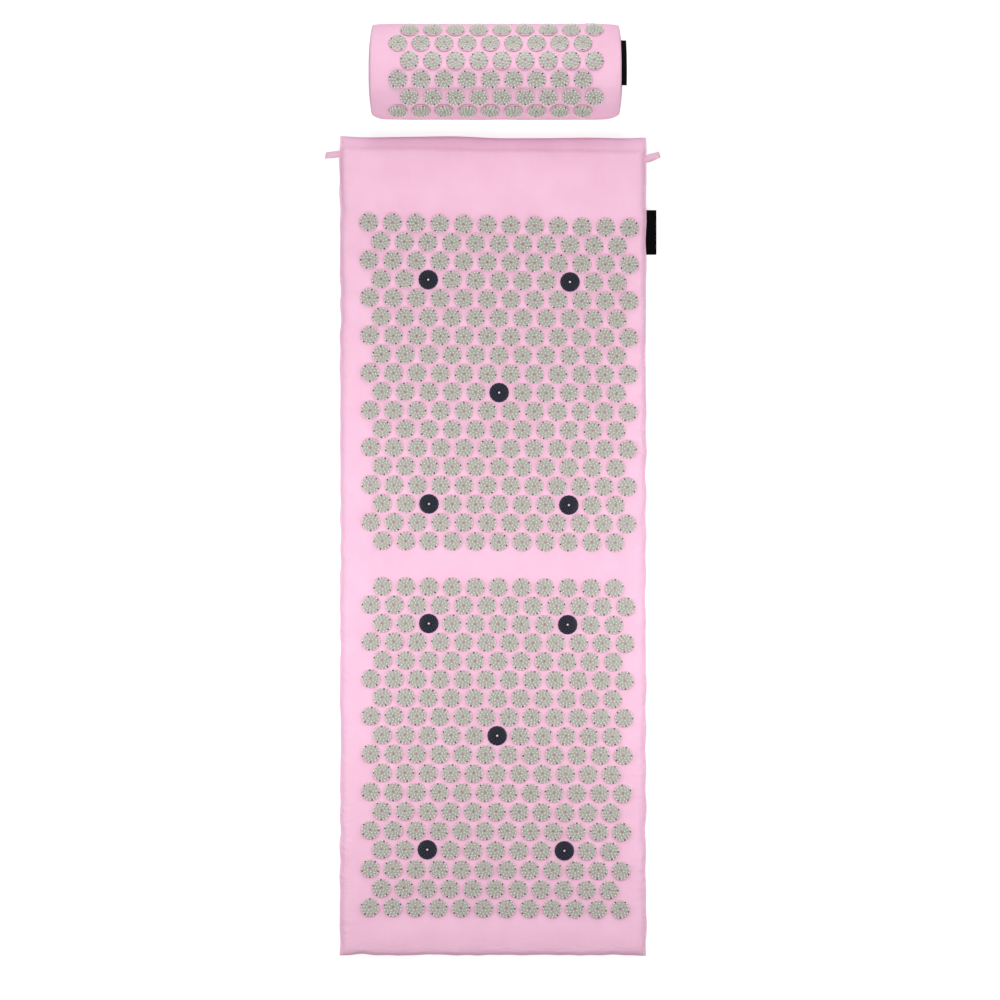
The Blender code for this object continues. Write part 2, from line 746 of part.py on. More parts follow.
def build_mat(finishes):
    """The mat: its head half, which stays put, its folding band and its foot half."""
    pink = finishes["cotton"]
    foam = finishes["foam"]
    head_near = BAND_HEAD_EDGE + GAP
    foot_near = BAND_FOOT_EDGE - GAP
    head_top, head_bottom = cover_panels("head", head_sections(head_near), False, pink)
    foot_top, foot_bottom = cover_panels("foot", foot_sections(foot_near), False, pink)
    cover_panels("fold", band_sections(), True, pink)

    foam_slab("head_foam", head_sections(head_near)[:2], foam)
    foam_slab("fold_foam", band_sections(), foam)
    foot_foam = foam_slab("foot_foam", foot_sections(foot_near)[:3], foam)

    fold_axis = empty_at("fold_axis", (0, FOLD_Y, FOLD_AXIS_HEIGHT))
    foot_pieces = [foot_top, foot_bottom, foot_foam]
    for field, panel in (("head", head_top), ("foot", foot_top)):
        pale, dark = disc_places(field)
        add_pale_discs(panel, field + "_pale_discs", pale, finishes["pale_disc"])
        for number, place in enumerate(dark, start=1):
            made = [
                navy_disc(f"{field}_navy_disc_{number}", place, finishes["navy_disc"]),
                disc_plug(f"{field}_disc_plug_{number}", place, finishes["plug"]),
            ]
            if field == "foot":
                foot_pieces += made
    for made in foot_pieces:
        hang_from(made, fold_axis)

    hang_loop("hang_loop_left", -1, LEFT_LOOP_TURN_DEG, LEFT_LOOP_FROM_END, pink)
    hang_loop("hang_loop_right", 1, RIGHT_LOOP_TURN_DEG, RIGHT_LOOP_FROM_END, pink)
    mat_label(finishes["label"])

    frame = zip_frame((0, HEAD_END - MAT_ZIP_FROM_END, HEM_LOW + FABRIC / 2), math.pi)
    boolean(head_bottom, zip_slot("mat_zip_slot", frame, MAT_ZIP_LENGTH), "DIFFERENCE")
    zip_parts("mat", ("inner", "outer"), frame, MAT_ZIP_LENGTH, finishes)


def build_pillow(finishes):
    """The pillow, drawn about its base's middle and then stood beyond the mat's head end."""
    pink = finishes["cotton"]
    frame = pillow_zip_frame()
    cover, discs = pillow_cover(pink, finishes["pale_disc"])
    slot = zip_slot("pillow_zip_slot", frame, PILLOW_ZIP_LENGTH)
    boolean(cover, slot, "DIFFERENCE")
    core = pillow_core(finishes["foam"])
    groove = core_groove(frame)
    boolean(core, groove, "DIFFERENCE")
    base = pillow_base(pink)
    ends = [
        pillow_end_panel("pillow_end_left", -1, pink),
        pillow_end_panel("pillow_end_right", 1, pink),
    ]
    label = pillow_label(finishes["label"])
    zip_pieces = zip_parts("pillow", ("lower", "upper"), frame, PILLOW_ZIP_LENGTH, finishes)
    stand = empty_at("pillow_stand", (PILLOW_SHIFT, PILLOW_Y, 0))
    for made in [cover, discs, slot, core, groove, base, *ends, label, *zip_pieces]:
        made.parent = stand


clear_scene()
PARTS = new_collection("acupressure_mat")
CUTTERS = new_collection("cutters")
FINISHES = {
    "cotton": material("pink_cotton", PINK, 0.9),
    "foam": material("cream_foam", FOAM_CREAM, 0.95),
    "pale_disc": material("pale_sage_plastic", SAGE, 0.45),
    "navy_disc": material("navy_plastic", NAVY, 0.35),
    "plug": material("white_plastic", WHITE, 0.4),
    "label": material("black_woven_label", BLACK, 0.8),
    "zip_tape": material("zip_tape", ZIP_PINK, 0.85),
    "zip_coil": material("zip_coil", ZIP_PINK, 0.4),
    "metal": material("nickel_plate", NICKEL, 0.3, 1.0),
}
build_mat(FINISHES)
build_pillow(FINISHES)
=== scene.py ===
# %% [markdown]
# # An acupressure mat and its neck pillow
#
# The mat is a pink cotton cover over a flat foam slab. More than four hundred small plastic discs, each
# a saucer full of blunt thorns, are fixed to its top in two fields, with a plain band between them where
# the mat folds. The pillow is a half-round bolster of the same cloth and discs.
#
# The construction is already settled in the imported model, so this script only dresses it. It starts from
# that frame, and every size that has to fit is read from it.

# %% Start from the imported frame
import math

import bpy
import numpy as np
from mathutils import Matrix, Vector


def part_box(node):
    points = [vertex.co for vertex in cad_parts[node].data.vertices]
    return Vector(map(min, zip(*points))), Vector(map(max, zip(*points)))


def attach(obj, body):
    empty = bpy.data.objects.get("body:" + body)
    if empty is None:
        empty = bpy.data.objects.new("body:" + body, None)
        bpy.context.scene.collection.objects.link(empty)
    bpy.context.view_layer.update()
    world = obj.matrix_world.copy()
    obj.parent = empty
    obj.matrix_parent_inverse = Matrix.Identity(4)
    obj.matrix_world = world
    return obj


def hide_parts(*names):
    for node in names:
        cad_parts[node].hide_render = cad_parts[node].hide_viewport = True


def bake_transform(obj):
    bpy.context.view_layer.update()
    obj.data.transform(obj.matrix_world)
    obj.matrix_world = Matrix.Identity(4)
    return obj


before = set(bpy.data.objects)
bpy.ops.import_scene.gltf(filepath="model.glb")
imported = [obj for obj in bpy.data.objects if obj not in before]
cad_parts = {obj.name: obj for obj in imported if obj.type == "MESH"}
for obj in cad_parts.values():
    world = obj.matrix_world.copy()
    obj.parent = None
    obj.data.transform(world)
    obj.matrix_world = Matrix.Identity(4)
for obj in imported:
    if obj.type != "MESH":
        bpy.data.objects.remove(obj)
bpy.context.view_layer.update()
MM = 0.001
SEED = 11

# %% [markdown]
# ## Camera
#
# The photograph looks straight down from far away, so parallel edges stay parallel. A camera with a very
# long lens does the same, and it still works when it is moved to another side. The photograph's 1000
# pixels cover 1.587 m of floor, because the mat is 1.3 m long in it.

# %% Camera
VIEW_WIDTH = 1.587
VIEW_CENTRE = (0.0111, 0.0730)
CAMERA_HEIGHT = 40.0
SENSOR_WIDTH = 36.0


def into_scene(name, data):
    """A new object in the scene, made of the data."""
    made = bpy.data.objects.new(name, data)
    bpy.context.scene.collection.objects.link(made)
    return made


camera_data = bpy.data.cameras.new("camera")
camera_data.sensor_width = SENSOR_WIDTH
camera_data.lens = SENSOR_WIDTH * CAMERA_HEIGHT / VIEW_WIDTH
camera_data.clip_end = 2 * CAMERA_HEIGHT
camera = into_scene("camera", camera_data)
camera.location = (*VIEW_CENTRE, CAMERA_HEIGHT)
bpy.context.scene.camera = camera
bpy.context.scene.view_settings.view_transform = "Standard"
print("lens in mm:", round(camera_data.lens))

# %% [markdown]
# ## Nodes and colours
#
# Colours are written as sRGB hex values, as a colour picker shows them, and one function turns them into
# the linear numbers that a shader works in. One more function adds a node, sets it and links it, so that
# a material reads as a short list.

# %% Nodes and colours
def colour(hex_value):
    """Linear red, green, blue and alpha of an sRGB hex colour."""
    parts = [int(hex_value[place:place + 2], 16) / 255 for place in (1, 3, 5)]
    linear = [((c + 0.055) / 1.055) ** 2.4 if c > 0.04045 else c / 12.92 for c in parts]
    return (*linear, 1.0)


def add(tree, kind, inputs=(), **settings):
    """Adds a node. Each input is a plain value, or a socket of another node to link from."""
    node = tree.nodes.new("ShaderNode" + kind)
    for name, value in settings.items():
        setattr(node, name, value)
    for name, value in dict(inputs).items():
        if isinstance(value, bpy.types.NodeSocket):
            tree.links.new(value, node.inputs[name])
        else:
            node.inputs[name].default_value = value
    return node


def new_material(name):
    """An empty material and its node tree."""
    made = bpy.data.materials.new(name)
    made.use_nodes = True
    made.node_tree.nodes.clear()
    return made, made.node_tree


# %% [markdown]
# ## Light and floor
#
# The picture is evenly lit, a little brighter in the middle of the mat than at its two ends, and both
# long edges are bright. One large lamp overhead would be simpler, but it leaves the edges dull. So two
# soft lamps stand low, one on each side of the mat's middle, as beside a photographer's table. A third
# one behind the pillow makes its back as bright as its front, and a weak fourth one lights the turned
# edge at the foot end. A pale surround fills in the rest.
#
# The background is pure white. Only rays from the camera, from mirror-like surfaces and through glass
# see the surround as white, so it doesn't wash the object out.

# %% Light
SURROUND_LEVEL = 0.42
LAMP_SIZE = 0.6
# Each lamp has its power, its place and the place that it points to.
LAMPS = {
    "right_lamp": (4.3, (0.70, -0.10, 0.70), (0.0, -0.10, 0.0)),
    "left_lamp": (4.3, (-0.70, -0.10, 0.70), (0.0, -0.10, 0.0)),
    "back_lamp": (4.8, (0.0, 1.35, 0.70), (0.0, 0.75, 0.06)),
    "front_lamp": (0.45, (0.0, -1.15, 0.55), (0.0, -0.62, 0.02)),
}


def seen_as_white(tree):
    """A number that is 1 on rays from the camera, from gloss and through glass, and 0 on others."""
    path = add(tree, "LightPath").outputs
    total = add(tree, "Math", {0: path["Is Camera Ray"], 1: path["Is Glossy Ray"]}).outputs[0]
    return add(tree, "Math", {0: total, 1: path["Is Transmission Ray"]}, use_clamp=True).outputs[0]


world = bpy.data.worlds.new("studio")
world.use_nodes = True
studio = world.node_tree
studio.nodes.clear()
surround = add(studio, "Background", {"Color": colour("#FFFFFF"), "Strength": SURROUND_LEVEL}).outputs[0]
backdrop = add(studio, "Background", {"Color": colour("#FFFFFF"), "Strength": 1.0}).outputs[0]
both = add(studio, "MixShader", {0: seen_as_white(studio), 1: surround, 2: backdrop}).outputs[0]
add(studio, "OutputWorld", {"Surface": both})
bpy.context.scene.world = world

for name, (power, place, target) in LAMPS.items():
    lamp_data = bpy.data.lights.new(name, "AREA")
    lamp_data.shape = "DISK"
    lamp_data.size = LAMP_SIZE
    lamp_data.energy = power
    lamp = into_scene(name, lamp_data)
    lamp.location = place
    lamp.rotation_euler = (Vector(target) - Vector(place)).to_track_quat("-Z", "Y").to_euler()

# %% [markdown]
# The floor is white paper. A real white sheet under these lamps comes out grey at its far edges, so the
# paper is a light grey that keeps the mat's shadow, and a glow that only the camera and mirror-like
# surfaces see lifts it to white. It lies a hair below zero, so that it never shows through the mat.

# %% Floor
FLOOR_SIZE = 12.0
FLOOR_DROP = 0.0004
FLOOR_GLOW = 0.78

paper, tree = new_material("white_paper_floor")
matt = add(tree, "BsdfDiffuse", {"Color": colour("#BCBCBC")}).outputs[0]
level = add(tree, "Math", {0: seen_as_white(tree), 1: FLOOR_GLOW}, operation="MULTIPLY").outputs[0]
glow = add(tree, "Emission", {"Color": colour("#FFFFFF"), "Strength": level}).outputs[0]
add(tree, "OutputMaterial", {"Surface": add(tree, "AddShader", {0: matt, 1: glow}).outputs[0]})

floor_mesh = bpy.data.meshes.new("floor")
corner_signs = ((-1, -1), (1, -1), (1, 1), (-1, 1))
floor_corners = [(x * FLOOR_SIZE / 2, y * FLOOR_SIZE / 2, -FLOOR_DROP) for x, y in corner_signs]
floor_mesh.from_pydata(floor_corners, [], [(0, 1, 2, 3)])
floor_mesh.materials.append(paper)
floor = into_scene("floor", floor_mesh)

# %% [markdown]
# ## Cloth
#
# The cover is a light pink cotton in plain weave: each thread passes over one and under the next. Close
# up that gives small raised squares, half along the cloth and half across it. A picture of cloth could
# show them too, but it repeats. Here two wave patterns make the threads, and a checker picks which one
# lies on top. They run on a UV map in metres, so they follow the cloth round its edges. Cotton is matt,
# with a faint sheen where it is seen at an angle.
#
# Real threads are 0.35 mm apart. They are drawn 0.7 mm apart here, because finer ones don't show even
# in a close view. Soft blotches and long streaks keep the colour from looking like paint. Beside a seam
# the cloth is gathered into small slanting wrinkles. An attribute called loose, 1 at the seam and 0 on
# cloth that lies flat, says how strong they are.

# %% Cloth
THREAD_SPACING = 0.0007
THREAD_DEPTH = 0.00012
WAVE_CYCLES = 20 / (2 * math.pi)
BLOTCH_SIZE = 0.060
CREASE_SIZE = 0.018
CREASE_DEPTH = 0.0006
WRINKLE_LENGTH = 0.030
WRINKLE_SPACING = 0.008
WRINKLE_DEPTH = 0.0022
WRINKLE_SLANT = math.radians(25)
STREAK_LENGTH_SHARE = 0.03
STREAK_STRENGTH = 0.25
TONE_LOW = 0.35
TONE_HIGH = 0.90


def woven_cloth(
    name, light_hex, deep_hex, thread=THREAD_SPACING, sheen=0.25, crease=CREASE_DEPTH, gloss=0.5
):
    """Plain-woven cloth on the UV map called cloth, whose units are metres."""
    made, tree = new_material(name)
    place = add(tree, "UVMap", uv_map="cloth").outputs[0]
    wave = {"Vector": place, "Scale": 1 / (thread * WAVE_CYCLES)}
    warp = add(tree, "TexWave", wave, bands_direction="X").outputs["Fac"]
    weft = add(tree, "TexWave", wave, bands_direction="Y").outputs["Fac"]
    over = add(tree, "TexChecker", {"Vector": place, "Scale": 1 / thread}).outputs["Fac"]
    weave = add(tree, "Mix", {"Factor": over, "A": warp, "B": weft}).outputs[0]
    crumple = {"Vector": place, "Scale": 1 / CREASE_SIZE, "Detail": 2.0}
    creases = add(tree, "TexNoise", crumple).outputs["Fac"]
    folded = add(tree, "Bump", {"Height": creases, "Distance": crease, "Strength": 0.35}).outputs[0]
    slanted = add(tree, "Mapping", {
        "Vector": place,
        "Rotation": (0.0, 0.0, WRINKLE_SLANT),
        "Scale": (1 / WRINKLE_LENGTH, 1 / WRINKLE_SPACING, 1.0),
    }).outputs[0]
    wrinkles = add(tree, "TexNoise", {"Vector": slanted, "Scale": 1.0, "Detail": 1.0}).outputs["Fac"]
    loose = add(tree, "Attribute", attribute_name="loose", attribute_type="GEOMETRY").outputs["Fac"]
    gathered = add(tree, "Bump", {
        "Height": wrinkles, "Distance": WRINKLE_DEPTH, "Strength": loose, "Normal": folded,
    }).outputs[0]
    woven = add(tree, "Bump", {
        "Height": weave, "Distance": THREAD_DEPTH, "Strength": 0.5, "Normal": gathered,
    }).outputs[0]
    patchy = {"Vector": place, "Scale": 1 / BLOTCH_SIZE, "Detail": 3.0}
    blotches = add(tree, "TexNoise", patchy).outputs["Fac"]
    stretched = add(tree, "Mapping", {"Vector": place, "Scale": (1.0, STREAK_LENGTH_SHARE, 1.0)}).outputs[0]
    streaky = {"Vector": stretched, "Scale": 1 / (2 * thread), "Detail": 1.0}
    streaks = add(tree, "TexNoise", streaky).outputs["Fac"]
    uneven = {0: streaks, 1: STREAK_STRENGTH, 2: blotches}
    tone = add(tree, "Math", uneven, operation="MULTIPLY_ADD").outputs[0]
    spread = {"Value": tone, "From Min": TONE_LOW, "From Max": TONE_HIGH}
    tone_share = add(tree, "MapRange", spread).outputs[0]
    dye = {"Factor": tone_share, "A": colour(deep_hex), "B": colour(light_hex)}
    shader = add(tree, "BsdfPrincipled", {
        "Base Color": add(tree, "Mix", dye, data_type="RGBA").outputs[2],
        "Roughness": 0.92,
        "Sheen Weight": sheen,
        "Sheen Roughness": 0.6,
        "Sheen Tint": colour(light_hex),
        "Specular IOR Level": gloss,
        "Normal": woven,
    })
    add(tree, "OutputMaterial", {"Surface": shader.outputs[0]})
    return made


pink_cotton = woven_cloth("pink_plain_cotton", "#FDCBE5", "#F6C0DB")
pink_tape = woven_cloth("pink_twill_tape", "#F4C9DC", "#E9B9D0", thread=0.0009, crease=0.0001)
black_label = woven_cloth(
    "black_woven_label", "#060607", "#030304", thread=0.0004, sheen=0.0, crease=0.0001, gloss=0.06
)

# %% [markdown]
# ## Mesh tools
#
# Nearly every piece here is a surface worked out as a whole array: a grid of points, whose rows and
# columns are two directions along the piece. That keeps each shape a formula, which modelling by hand
# would hide. These helpers turn a grid into a mesh and give it a UV map in metres.

# %% Mesh tools
def numbered(grid):
    """The number of each point of a grid, in its own rows and columns."""
    return np.arange(grid.shape[0] * grid.shape[1]).reshape(grid.shape[:2])


def grid_faces(grid, wrap=False):
    """The four corners of each face of a grid, as what the grid holds: point numbers or UV places.

    With wrap, the last column meets the first.
    """
    if wrap:
        grid = np.concatenate([grid, grid[:, :1]], axis=1)
    corners = (grid[:-1, :-1], grid[:-1, 1:], grid[1:, 1:], grid[1:, :-1])
    return np.stack([part.reshape(-1, *grid.shape[2:]) for part in corners], axis=1)


def tube_faces(points):
    """Faces of a closed tube: its wall, and one cap over each end."""
    index = numbered(points)
    return [grid_faces(index, wrap=True)[:, ::-1], index[0][None, :], index[-1][None, ::-1]]


def make_piece(name, points, faces, finish, uv=None, sharp_deg=None):
    """A smooth-shaded object. faces holds arrays of corners, and uv a place for each corner.

    Edges that turn by more than sharp_deg stay sharp.
    """
    mesh = bpy.data.meshes.new(name)
    corners = [row for block in faces for row in block.tolist()]
    mesh.from_pydata(points.reshape(-1, 3).tolist(), [], corners)
    if uv is not None:
        layer = mesh.uv_layers.new(name="cloth")
        layer.uv.foreach_set("vector", np.concatenate([u.reshape(-1) for u in uv]).astype(np.float32))
    mesh.shade_smooth()
    mesh.materials.append(finish)
    mesh.validate()
    if sharp_deg is not None:
        mesh.set_sharp_from_angle(angle=math.radians(sharp_deg))
    return into_scene(name, mesh)


def lengths_along(points, axis):
    """Distance from the first row, or column, of a grid to each point, along its lines."""
    steps = np.linalg.norm(np.diff(points, axis=axis), axis=2)
    start = np.zeros_like(np.take(steps, [0], axis=axis))
    return np.concatenate([start, np.cumsum(steps, axis=axis)], axis=axis)


def grid_uv(points, wrap=False):
    """UV places of a grid's faces, as real lengths across and along it."""
    if wrap:
        points = np.concatenate([points, points[:, :1]], axis=1)
    return grid_faces(np.stack([lengths_along(points, 1), lengths_along(points, 0)], axis=2))


def points_of(mesh):
    """A mesh's points, as an array of point and X, Y, Z."""
    places = np.empty(len(mesh.vertices) * 3)
    mesh.vertices.foreach_get("co", places)
    return places.reshape(-1, 3)


def give_share(piece, name, values):
    """Gives each point of a piece its own number, which a material can read by name."""
    layer = piece.data.attributes.new(name, "FLOAT", "POINT")
    layer.data.foreach_set("value", np.asarray(values).astype(np.float32))


def soften(piece):
    """Adds a subdivision surface, the same in the viewport and in the render."""
    change = piece.modifiers.new("soften", "SUBSURF")
    change.levels = 1
    change.render_levels = 1


def add_wall(piece, thickness):
    """Gives an open sheet of cloth its thickness, towards its inside."""
    wall = piece.modifiers.new("cloth_thickness", "SOLIDIFY")
    wall.thickness = thickness
    wall.offset = -1.0


# %% [markdown]
# The next helpers are plain arithmetic: directions of length one, points on a circle, a value read off
# a profile, and a wandering line. The line is a sum of a few sines, which is smooth at every scale,
# where noise from point to point would be rough.

# %% Number tools
def unit(vectors):
    """Each row of an array, made one long."""
    return vectors / np.linalg.norm(vectors, axis=1, keepdims=True)


def around(count):
    """Angles evenly spaced round a full turn."""
    return 2 * math.pi * np.arange(count) / count


def ring(angles, radius=1.0, height=0.0):
    """Points round Z at some angles, all at one radius and one height."""
    return np.stack([radius * np.cos(angles), radius * np.sin(angles), np.full(len(angles), height)], axis=1)


def read_off(profile, places):
    """Values of a profile of place and value, with straight lines between its places."""
    return np.interp(places, list(profile), list(profile.values()))


def even(start, stop, spacing):
    """Evenly spaced places from start up to, but not including, stop."""
    return np.linspace(start, stop, int(round(abs(stop - start) / spacing)) + 1)[:-1]


def bell(places, middle, width):
    """1 at the middle, and falling on both sides as a bell curve of that width."""
    return np.exp(-(((places - middle) / width) ** 2))


def waves(seed, count, shortest, longest):
    """A smooth wandering line: a sum of sines whose lengths and starts are drawn from a seed."""
    draw = np.random.default_rng(seed)
    spans = np.exp(draw.uniform(np.log(shortest), np.log(longest), count))
    starts = draw.uniform(0, 2 * np.pi, count)
    heights = draw.uniform(0.5, 1.0, count) / np.sqrt(count)

    def line(place):
        turns = 2 * np.pi * np.asarray(place)[..., None] / spans + starts
        return (heights * np.sin(turns)).sum(axis=-1)

    return line


def centre_of(node):
    """Middle of a node's box."""
    low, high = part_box(node)
    return (np.array(low) + np.array(high)) / 2


# %% [markdown]
# ## Where the discs are
#
# The frame already holds every disc, as an eight-sided block on its panel. A rule for the rows would
# have to be kept in step with it, so the places are found instead. The flat tops of the blocks all lie
# at one height, or on the pillow at one distance from its axis. Triangles that share a corner belong to
# one disc, so the lowest corner number is spread from triangle to triangle until it stops changing, and
# the mean of each group is a disc's centre.

# %% Where the discs are
DISC_HEIGHT = 0.006
TOUCH = 0.00005
PILLOW_RADIUS = 0.0762
PILLOW_CENTRE_HEIGHT = 0.0225
SIDEWAYS_SHARE = 0.01


def triangles_of(node):
    """Corners of a node's triangles, as an array of triangle, corner and X, Y, Z."""
    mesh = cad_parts[node].data
    mesh.calc_loop_triangles()
    corners = np.empty(len(mesh.loop_triangles) * 3, np.int32)
    mesh.loop_triangles.foreach_get("vertices", corners)
    return points_of(mesh)[corners.reshape(-1, 3)]


def groups_of(triangles):
    """Splits triangles into groups that share corners, and returns each group's corner places."""
    rounded = np.round(triangles.reshape(-1, 3) / TOUCH).astype(int)
    _, first, number = np.unique(rounded, axis=0, return_index=True, return_inverse=True)
    places = triangles.reshape(-1, 3)[first]
    corners = number.reshape(-1, 3)
    label = np.arange(len(places))
    while True:
        lowest = label[corners].min(axis=1)
        spread = label.copy()
        for side in range(3):
            np.minimum.at(spread, corners[:, side], lowest)
        if (spread == label).all():
            break
        label = spread
    return [places[label == one] for one in np.unique(label)]


def mat_discs(node):
    """Centre of each pale disc's top in one field. The discs are the highest part of the panel."""
    triangles = triangles_of(node)
    top = triangles[:, :, 2].max()
    flat = triangles[triangles[:, :, 2].min(axis=1) > top - TOUCH]
    return np.array([group.mean(axis=0) for group in groups_of(flat)])


def pillow_discs(node, axis_point, distance):
    """Centre and direction of each disc's top on the pillow, at one distance from its axis."""
    triangles = triangles_of(node)
    normals = unit(np.cross(triangles[:, 1] - triangles[:, 0], triangles[:, 2] - triangles[:, 0]))
    reach = ((triangles[:, 0] - axis_point) * normals).sum(axis=1)
    outwards = np.abs(normals[:, 0]) < SIDEWAYS_SHARE
    flat = triangles[outwards & (np.abs(reach - distance) < TOUCH)]
    centres = np.array([group.mean(axis=0) for group in groups_of(flat)])
    return centres, unit((centres - axis_point) * [0, 1, 1])


PILLOW_AXIS = centre_of("pillow_base_panel")
PILLOW_AXIS[2] = PILLOW_CENTRE_HEIGHT
head_tops = mat_discs("head_top_panel")
foot_tops = mat_discs("foot_top_panel")
pillow_tops, pillow_directions = pillow_discs("pillow_cover", PILLOW_AXIS, PILLOW_RADIUS + DISC_HEIGHT)
CLOTH_TOP = head_tops[0, 2] - DISC_HEIGHT
print("pale discs:", len(head_tops), "head,", len(foot_tops), "foot,", len(pillow_tops), "pillow")
print("cloth lies at", round(CLOTH_TOP / MM, 2), "mm")

# %% [markdown]
# ## The mat's cover
#
# The cover could be cut and sewn from flat panels in a simulation, but one closed sleeve gives the same
# shape from a few profiles. Its rows run along the mat, and its columns run from the right-hand seam
# over the top to the left-hand seam and back underneath. Across, each face is flat in the middle and
# drops to a shallow valley along a sewn lip, 2 mm wide, that stands out at half height. Along, the foot
# end turns down on a quarter of an ellipse, and at the head end the sleeve runs 25 mm past its foam as a
# flat hem, which hangs lower than the rest. At both ends the top and the bottom meet.

# %% The mat's outline
foot_low, foot_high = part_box("foot_top_panel")
head_low, head_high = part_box("head_top_panel")
MAT_HALF_WIDTH = head_high.x
FOOT_END = foot_low.y
HEAD_END = head_high.y
FOAM_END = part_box("head_foam")[1].y
FOLD_START = head_low.y
FOLD_FINISH = foot_high.y
SEAM_HEIGHT = CLOTH_TOP / 2

# Distance in from the edge, and share of the height
EDGE_PROFILE = {
    0.0000: 0.00, 0.0003: 0.10, 0.0012: 0.17, 0.0023: 0.16, 0.0031: 0.28,
    0.0044: 0.52, 0.0062: 0.74, 0.0085: 0.89, 0.0115: 0.97, 0.0160: 1.00,
}
EDGE_REACH = max(EDGE_PROFILE)
FOOT_STEPS = 8
MIDDLE_COLUMNS = 50
ROW_SPACING = 0.0088
FOLD_ROW_SPACING = 0.0036
HEM_ROW_SPACING = 0.0026
FOOT_ROUNDING = 0.014
# Distance past the end of the foam, and share of the height
HEM_TOP = {
    -0.008: 1.0, 0.001: 0.985, 0.004: 0.90, 0.007: 0.81, 0.012: 0.76, 0.020: 0.68, 0.0235: 0.60, 0.025: 0.50,
}
HEM_BOTTOM = {-0.006: 0.0, 0.000: 0.10, 0.0035: 0.36, 0.006: 0.40, 0.021: 0.405, 0.025: 0.50}

edge_in = np.array(list(EDGE_PROFILE))
edge_share = np.array(list(EDGE_PROFILE.values()))
middle_x = np.linspace(MAT_HALF_WIDTH - EDGE_REACH, EDGE_REACH - MAT_HALF_WIDTH, MIDDLE_COLUMNS + 1)[1:-1]
across_x = np.concatenate([MAT_HALF_WIDTH - edge_in, middle_x, edge_in[::-1] - MAT_HALF_WIDTH])
across_share = np.concatenate([edge_share, np.ones(len(middle_x)), edge_share[::-1]])
foot_turn = np.linspace(0, math.pi / 2, FOOT_STEPS + 1)
rows_y = np.concatenate([
    FOOT_END + FOOT_ROUNDING * (1 - np.cos(foot_turn))[:-1],
    even(FOOT_END + FOOT_ROUNDING, FOLD_FINISH, ROW_SPACING),
    even(FOLD_FINISH, FOLD_START, FOLD_ROW_SPACING),
    even(FOLD_START, FOAM_END - FOOT_ROUNDING, ROW_SPACING),
    even(FOAM_END - FOOT_ROUNDING, HEAD_END, HEM_ROW_SPACING),
    [HEAD_END],
])
foot_share = np.sin(np.arccos(1 - np.clip((rows_y - FOOT_END) / FOOT_ROUNDING, 0, 1)))
hem_top = CLOTH_TOP * read_off(HEM_TOP, rows_y - FOAM_END)
hem_bottom = CLOTH_TOP * read_off(HEM_BOTTOM, rows_y - FOAM_END)
row_top = np.where(rows_y < 0, SEAM_HEIGHT + (CLOTH_TOP - SEAM_HEIGHT) * foot_share, hem_top)
row_bottom = np.where(rows_y < 0, SEAM_HEIGHT * (1 - foot_share), hem_bottom)
row_seam = (row_top + row_bottom) / 2
print("cover grid:", len(rows_y), "rows of", 2 * len(across_x) - 2, "points")

# %% [markdown]
# A sewn cover is never as straight as its pattern. The seams wander by about a millimetre, the corners
# stand out a little because the seam allowance is stiff there, and the sewn lip is wider in some places
# than in others. Above the foot corners the sides are drawn in, the foot end is puckered near its left
# corner, and the head end is sewn a little askew, as the foam's end lies under the cloth. Noise on the
# finished mesh would move the seams apart, so these are small moves of the same grid.

# %% The mat's cover as a grid
SEAM_WANDER = 0.0011
CORNER_REACH = 0.0014
CORNER_WIDTH_SHARE = 0.10
LIP_WANDER_SHARE = 0.22
LIP_WANDER_REACH = 0.030
END_WANDER = 0.0010
EAR_PINCH = 0.0007
EAR_PLACE = 0.021
EAR_WIDTH = 0.010
PUCKER = 0.0018
PUCKER_X = -0.213
PUCKER_WIDTH = 0.012
HEAD_ASKEW = 0.0016
FOAM_ASKEW = 0.0022
FOAM_WANDER = 0.0007
FOAM_EDGE_PLACE = 0.004
FOAM_EDGE_WIDTH = 0.008

left_wander = waves(SEED, 7, 0.04, 0.45)
right_wander = waves(SEED + 1, 7, 0.04, 0.45)
lip_wander = waves(SEED + 2, 8, 0.03, 0.16)
head_wander = waves(SEED + 3, 5, 0.05, 0.40)
foot_wander = waves(SEED + 4, 6, 0.03, 0.20)
foam_wander = waves(SEED + 30, 5, 0.05, 0.30)

row_grid, side_grid = np.meshgrid(rows_y, across_x / MAT_HALF_WIDTH, indexing="ij")
wander = np.where(side_grid > 0, right_wander(row_grid), left_wander(row_grid))
inset = MAT_HALF_WIDTH - np.abs(across_x)[None, :]
in_lip = np.clip(1 - inset / LIP_WANDER_REACH, 0, 1)
lip_share = LIP_WANDER_SHARE * lip_wander(row_grid + np.sign(side_grid)) * in_lip
pinch = EAR_PINCH * bell(row_grid, FOOT_END + EAR_PLACE, EAR_WIDTH)
cover_x = np.sign(side_grid) * (
    MAT_HALF_WIDTH - inset * (1 + lip_share) + (SEAM_WANDER * wander - pinch) * np.abs(side_grid) ** 6
)
head_share = np.clip((row_grid - FOAM_END + FOOT_ROUNDING) / (HEAD_END - FOAM_END), 0, 1)
foot_end_share = np.clip(1 - (row_grid - FOOT_END) / (4 * FOOT_ROUNDING), 0, 1) ** 2
corner = CORNER_REACH * bell(np.abs(side_grid), 1, CORNER_WIDTH_SHARE) - END_WANDER
cover_y = row_grid + head_share * (corner + END_WANDER * head_wander(cover_x) - HEAD_ASKEW * side_grid)
cover_y += foot_end_share * PUCKER * bell(cover_x, PUCKER_X, PUCKER_WIDTH)
cover_y -= foot_end_share * (corner + END_WANDER * foot_wander(cover_x))
foam_edge = across_share * bell(row_grid, FOAM_END + FOAM_EDGE_PLACE, FOAM_EDGE_WIDTH)
top_y = cover_y - foam_edge * (FOAM_ASKEW * side_grid + FOAM_WANDER * foam_wander(cover_x))
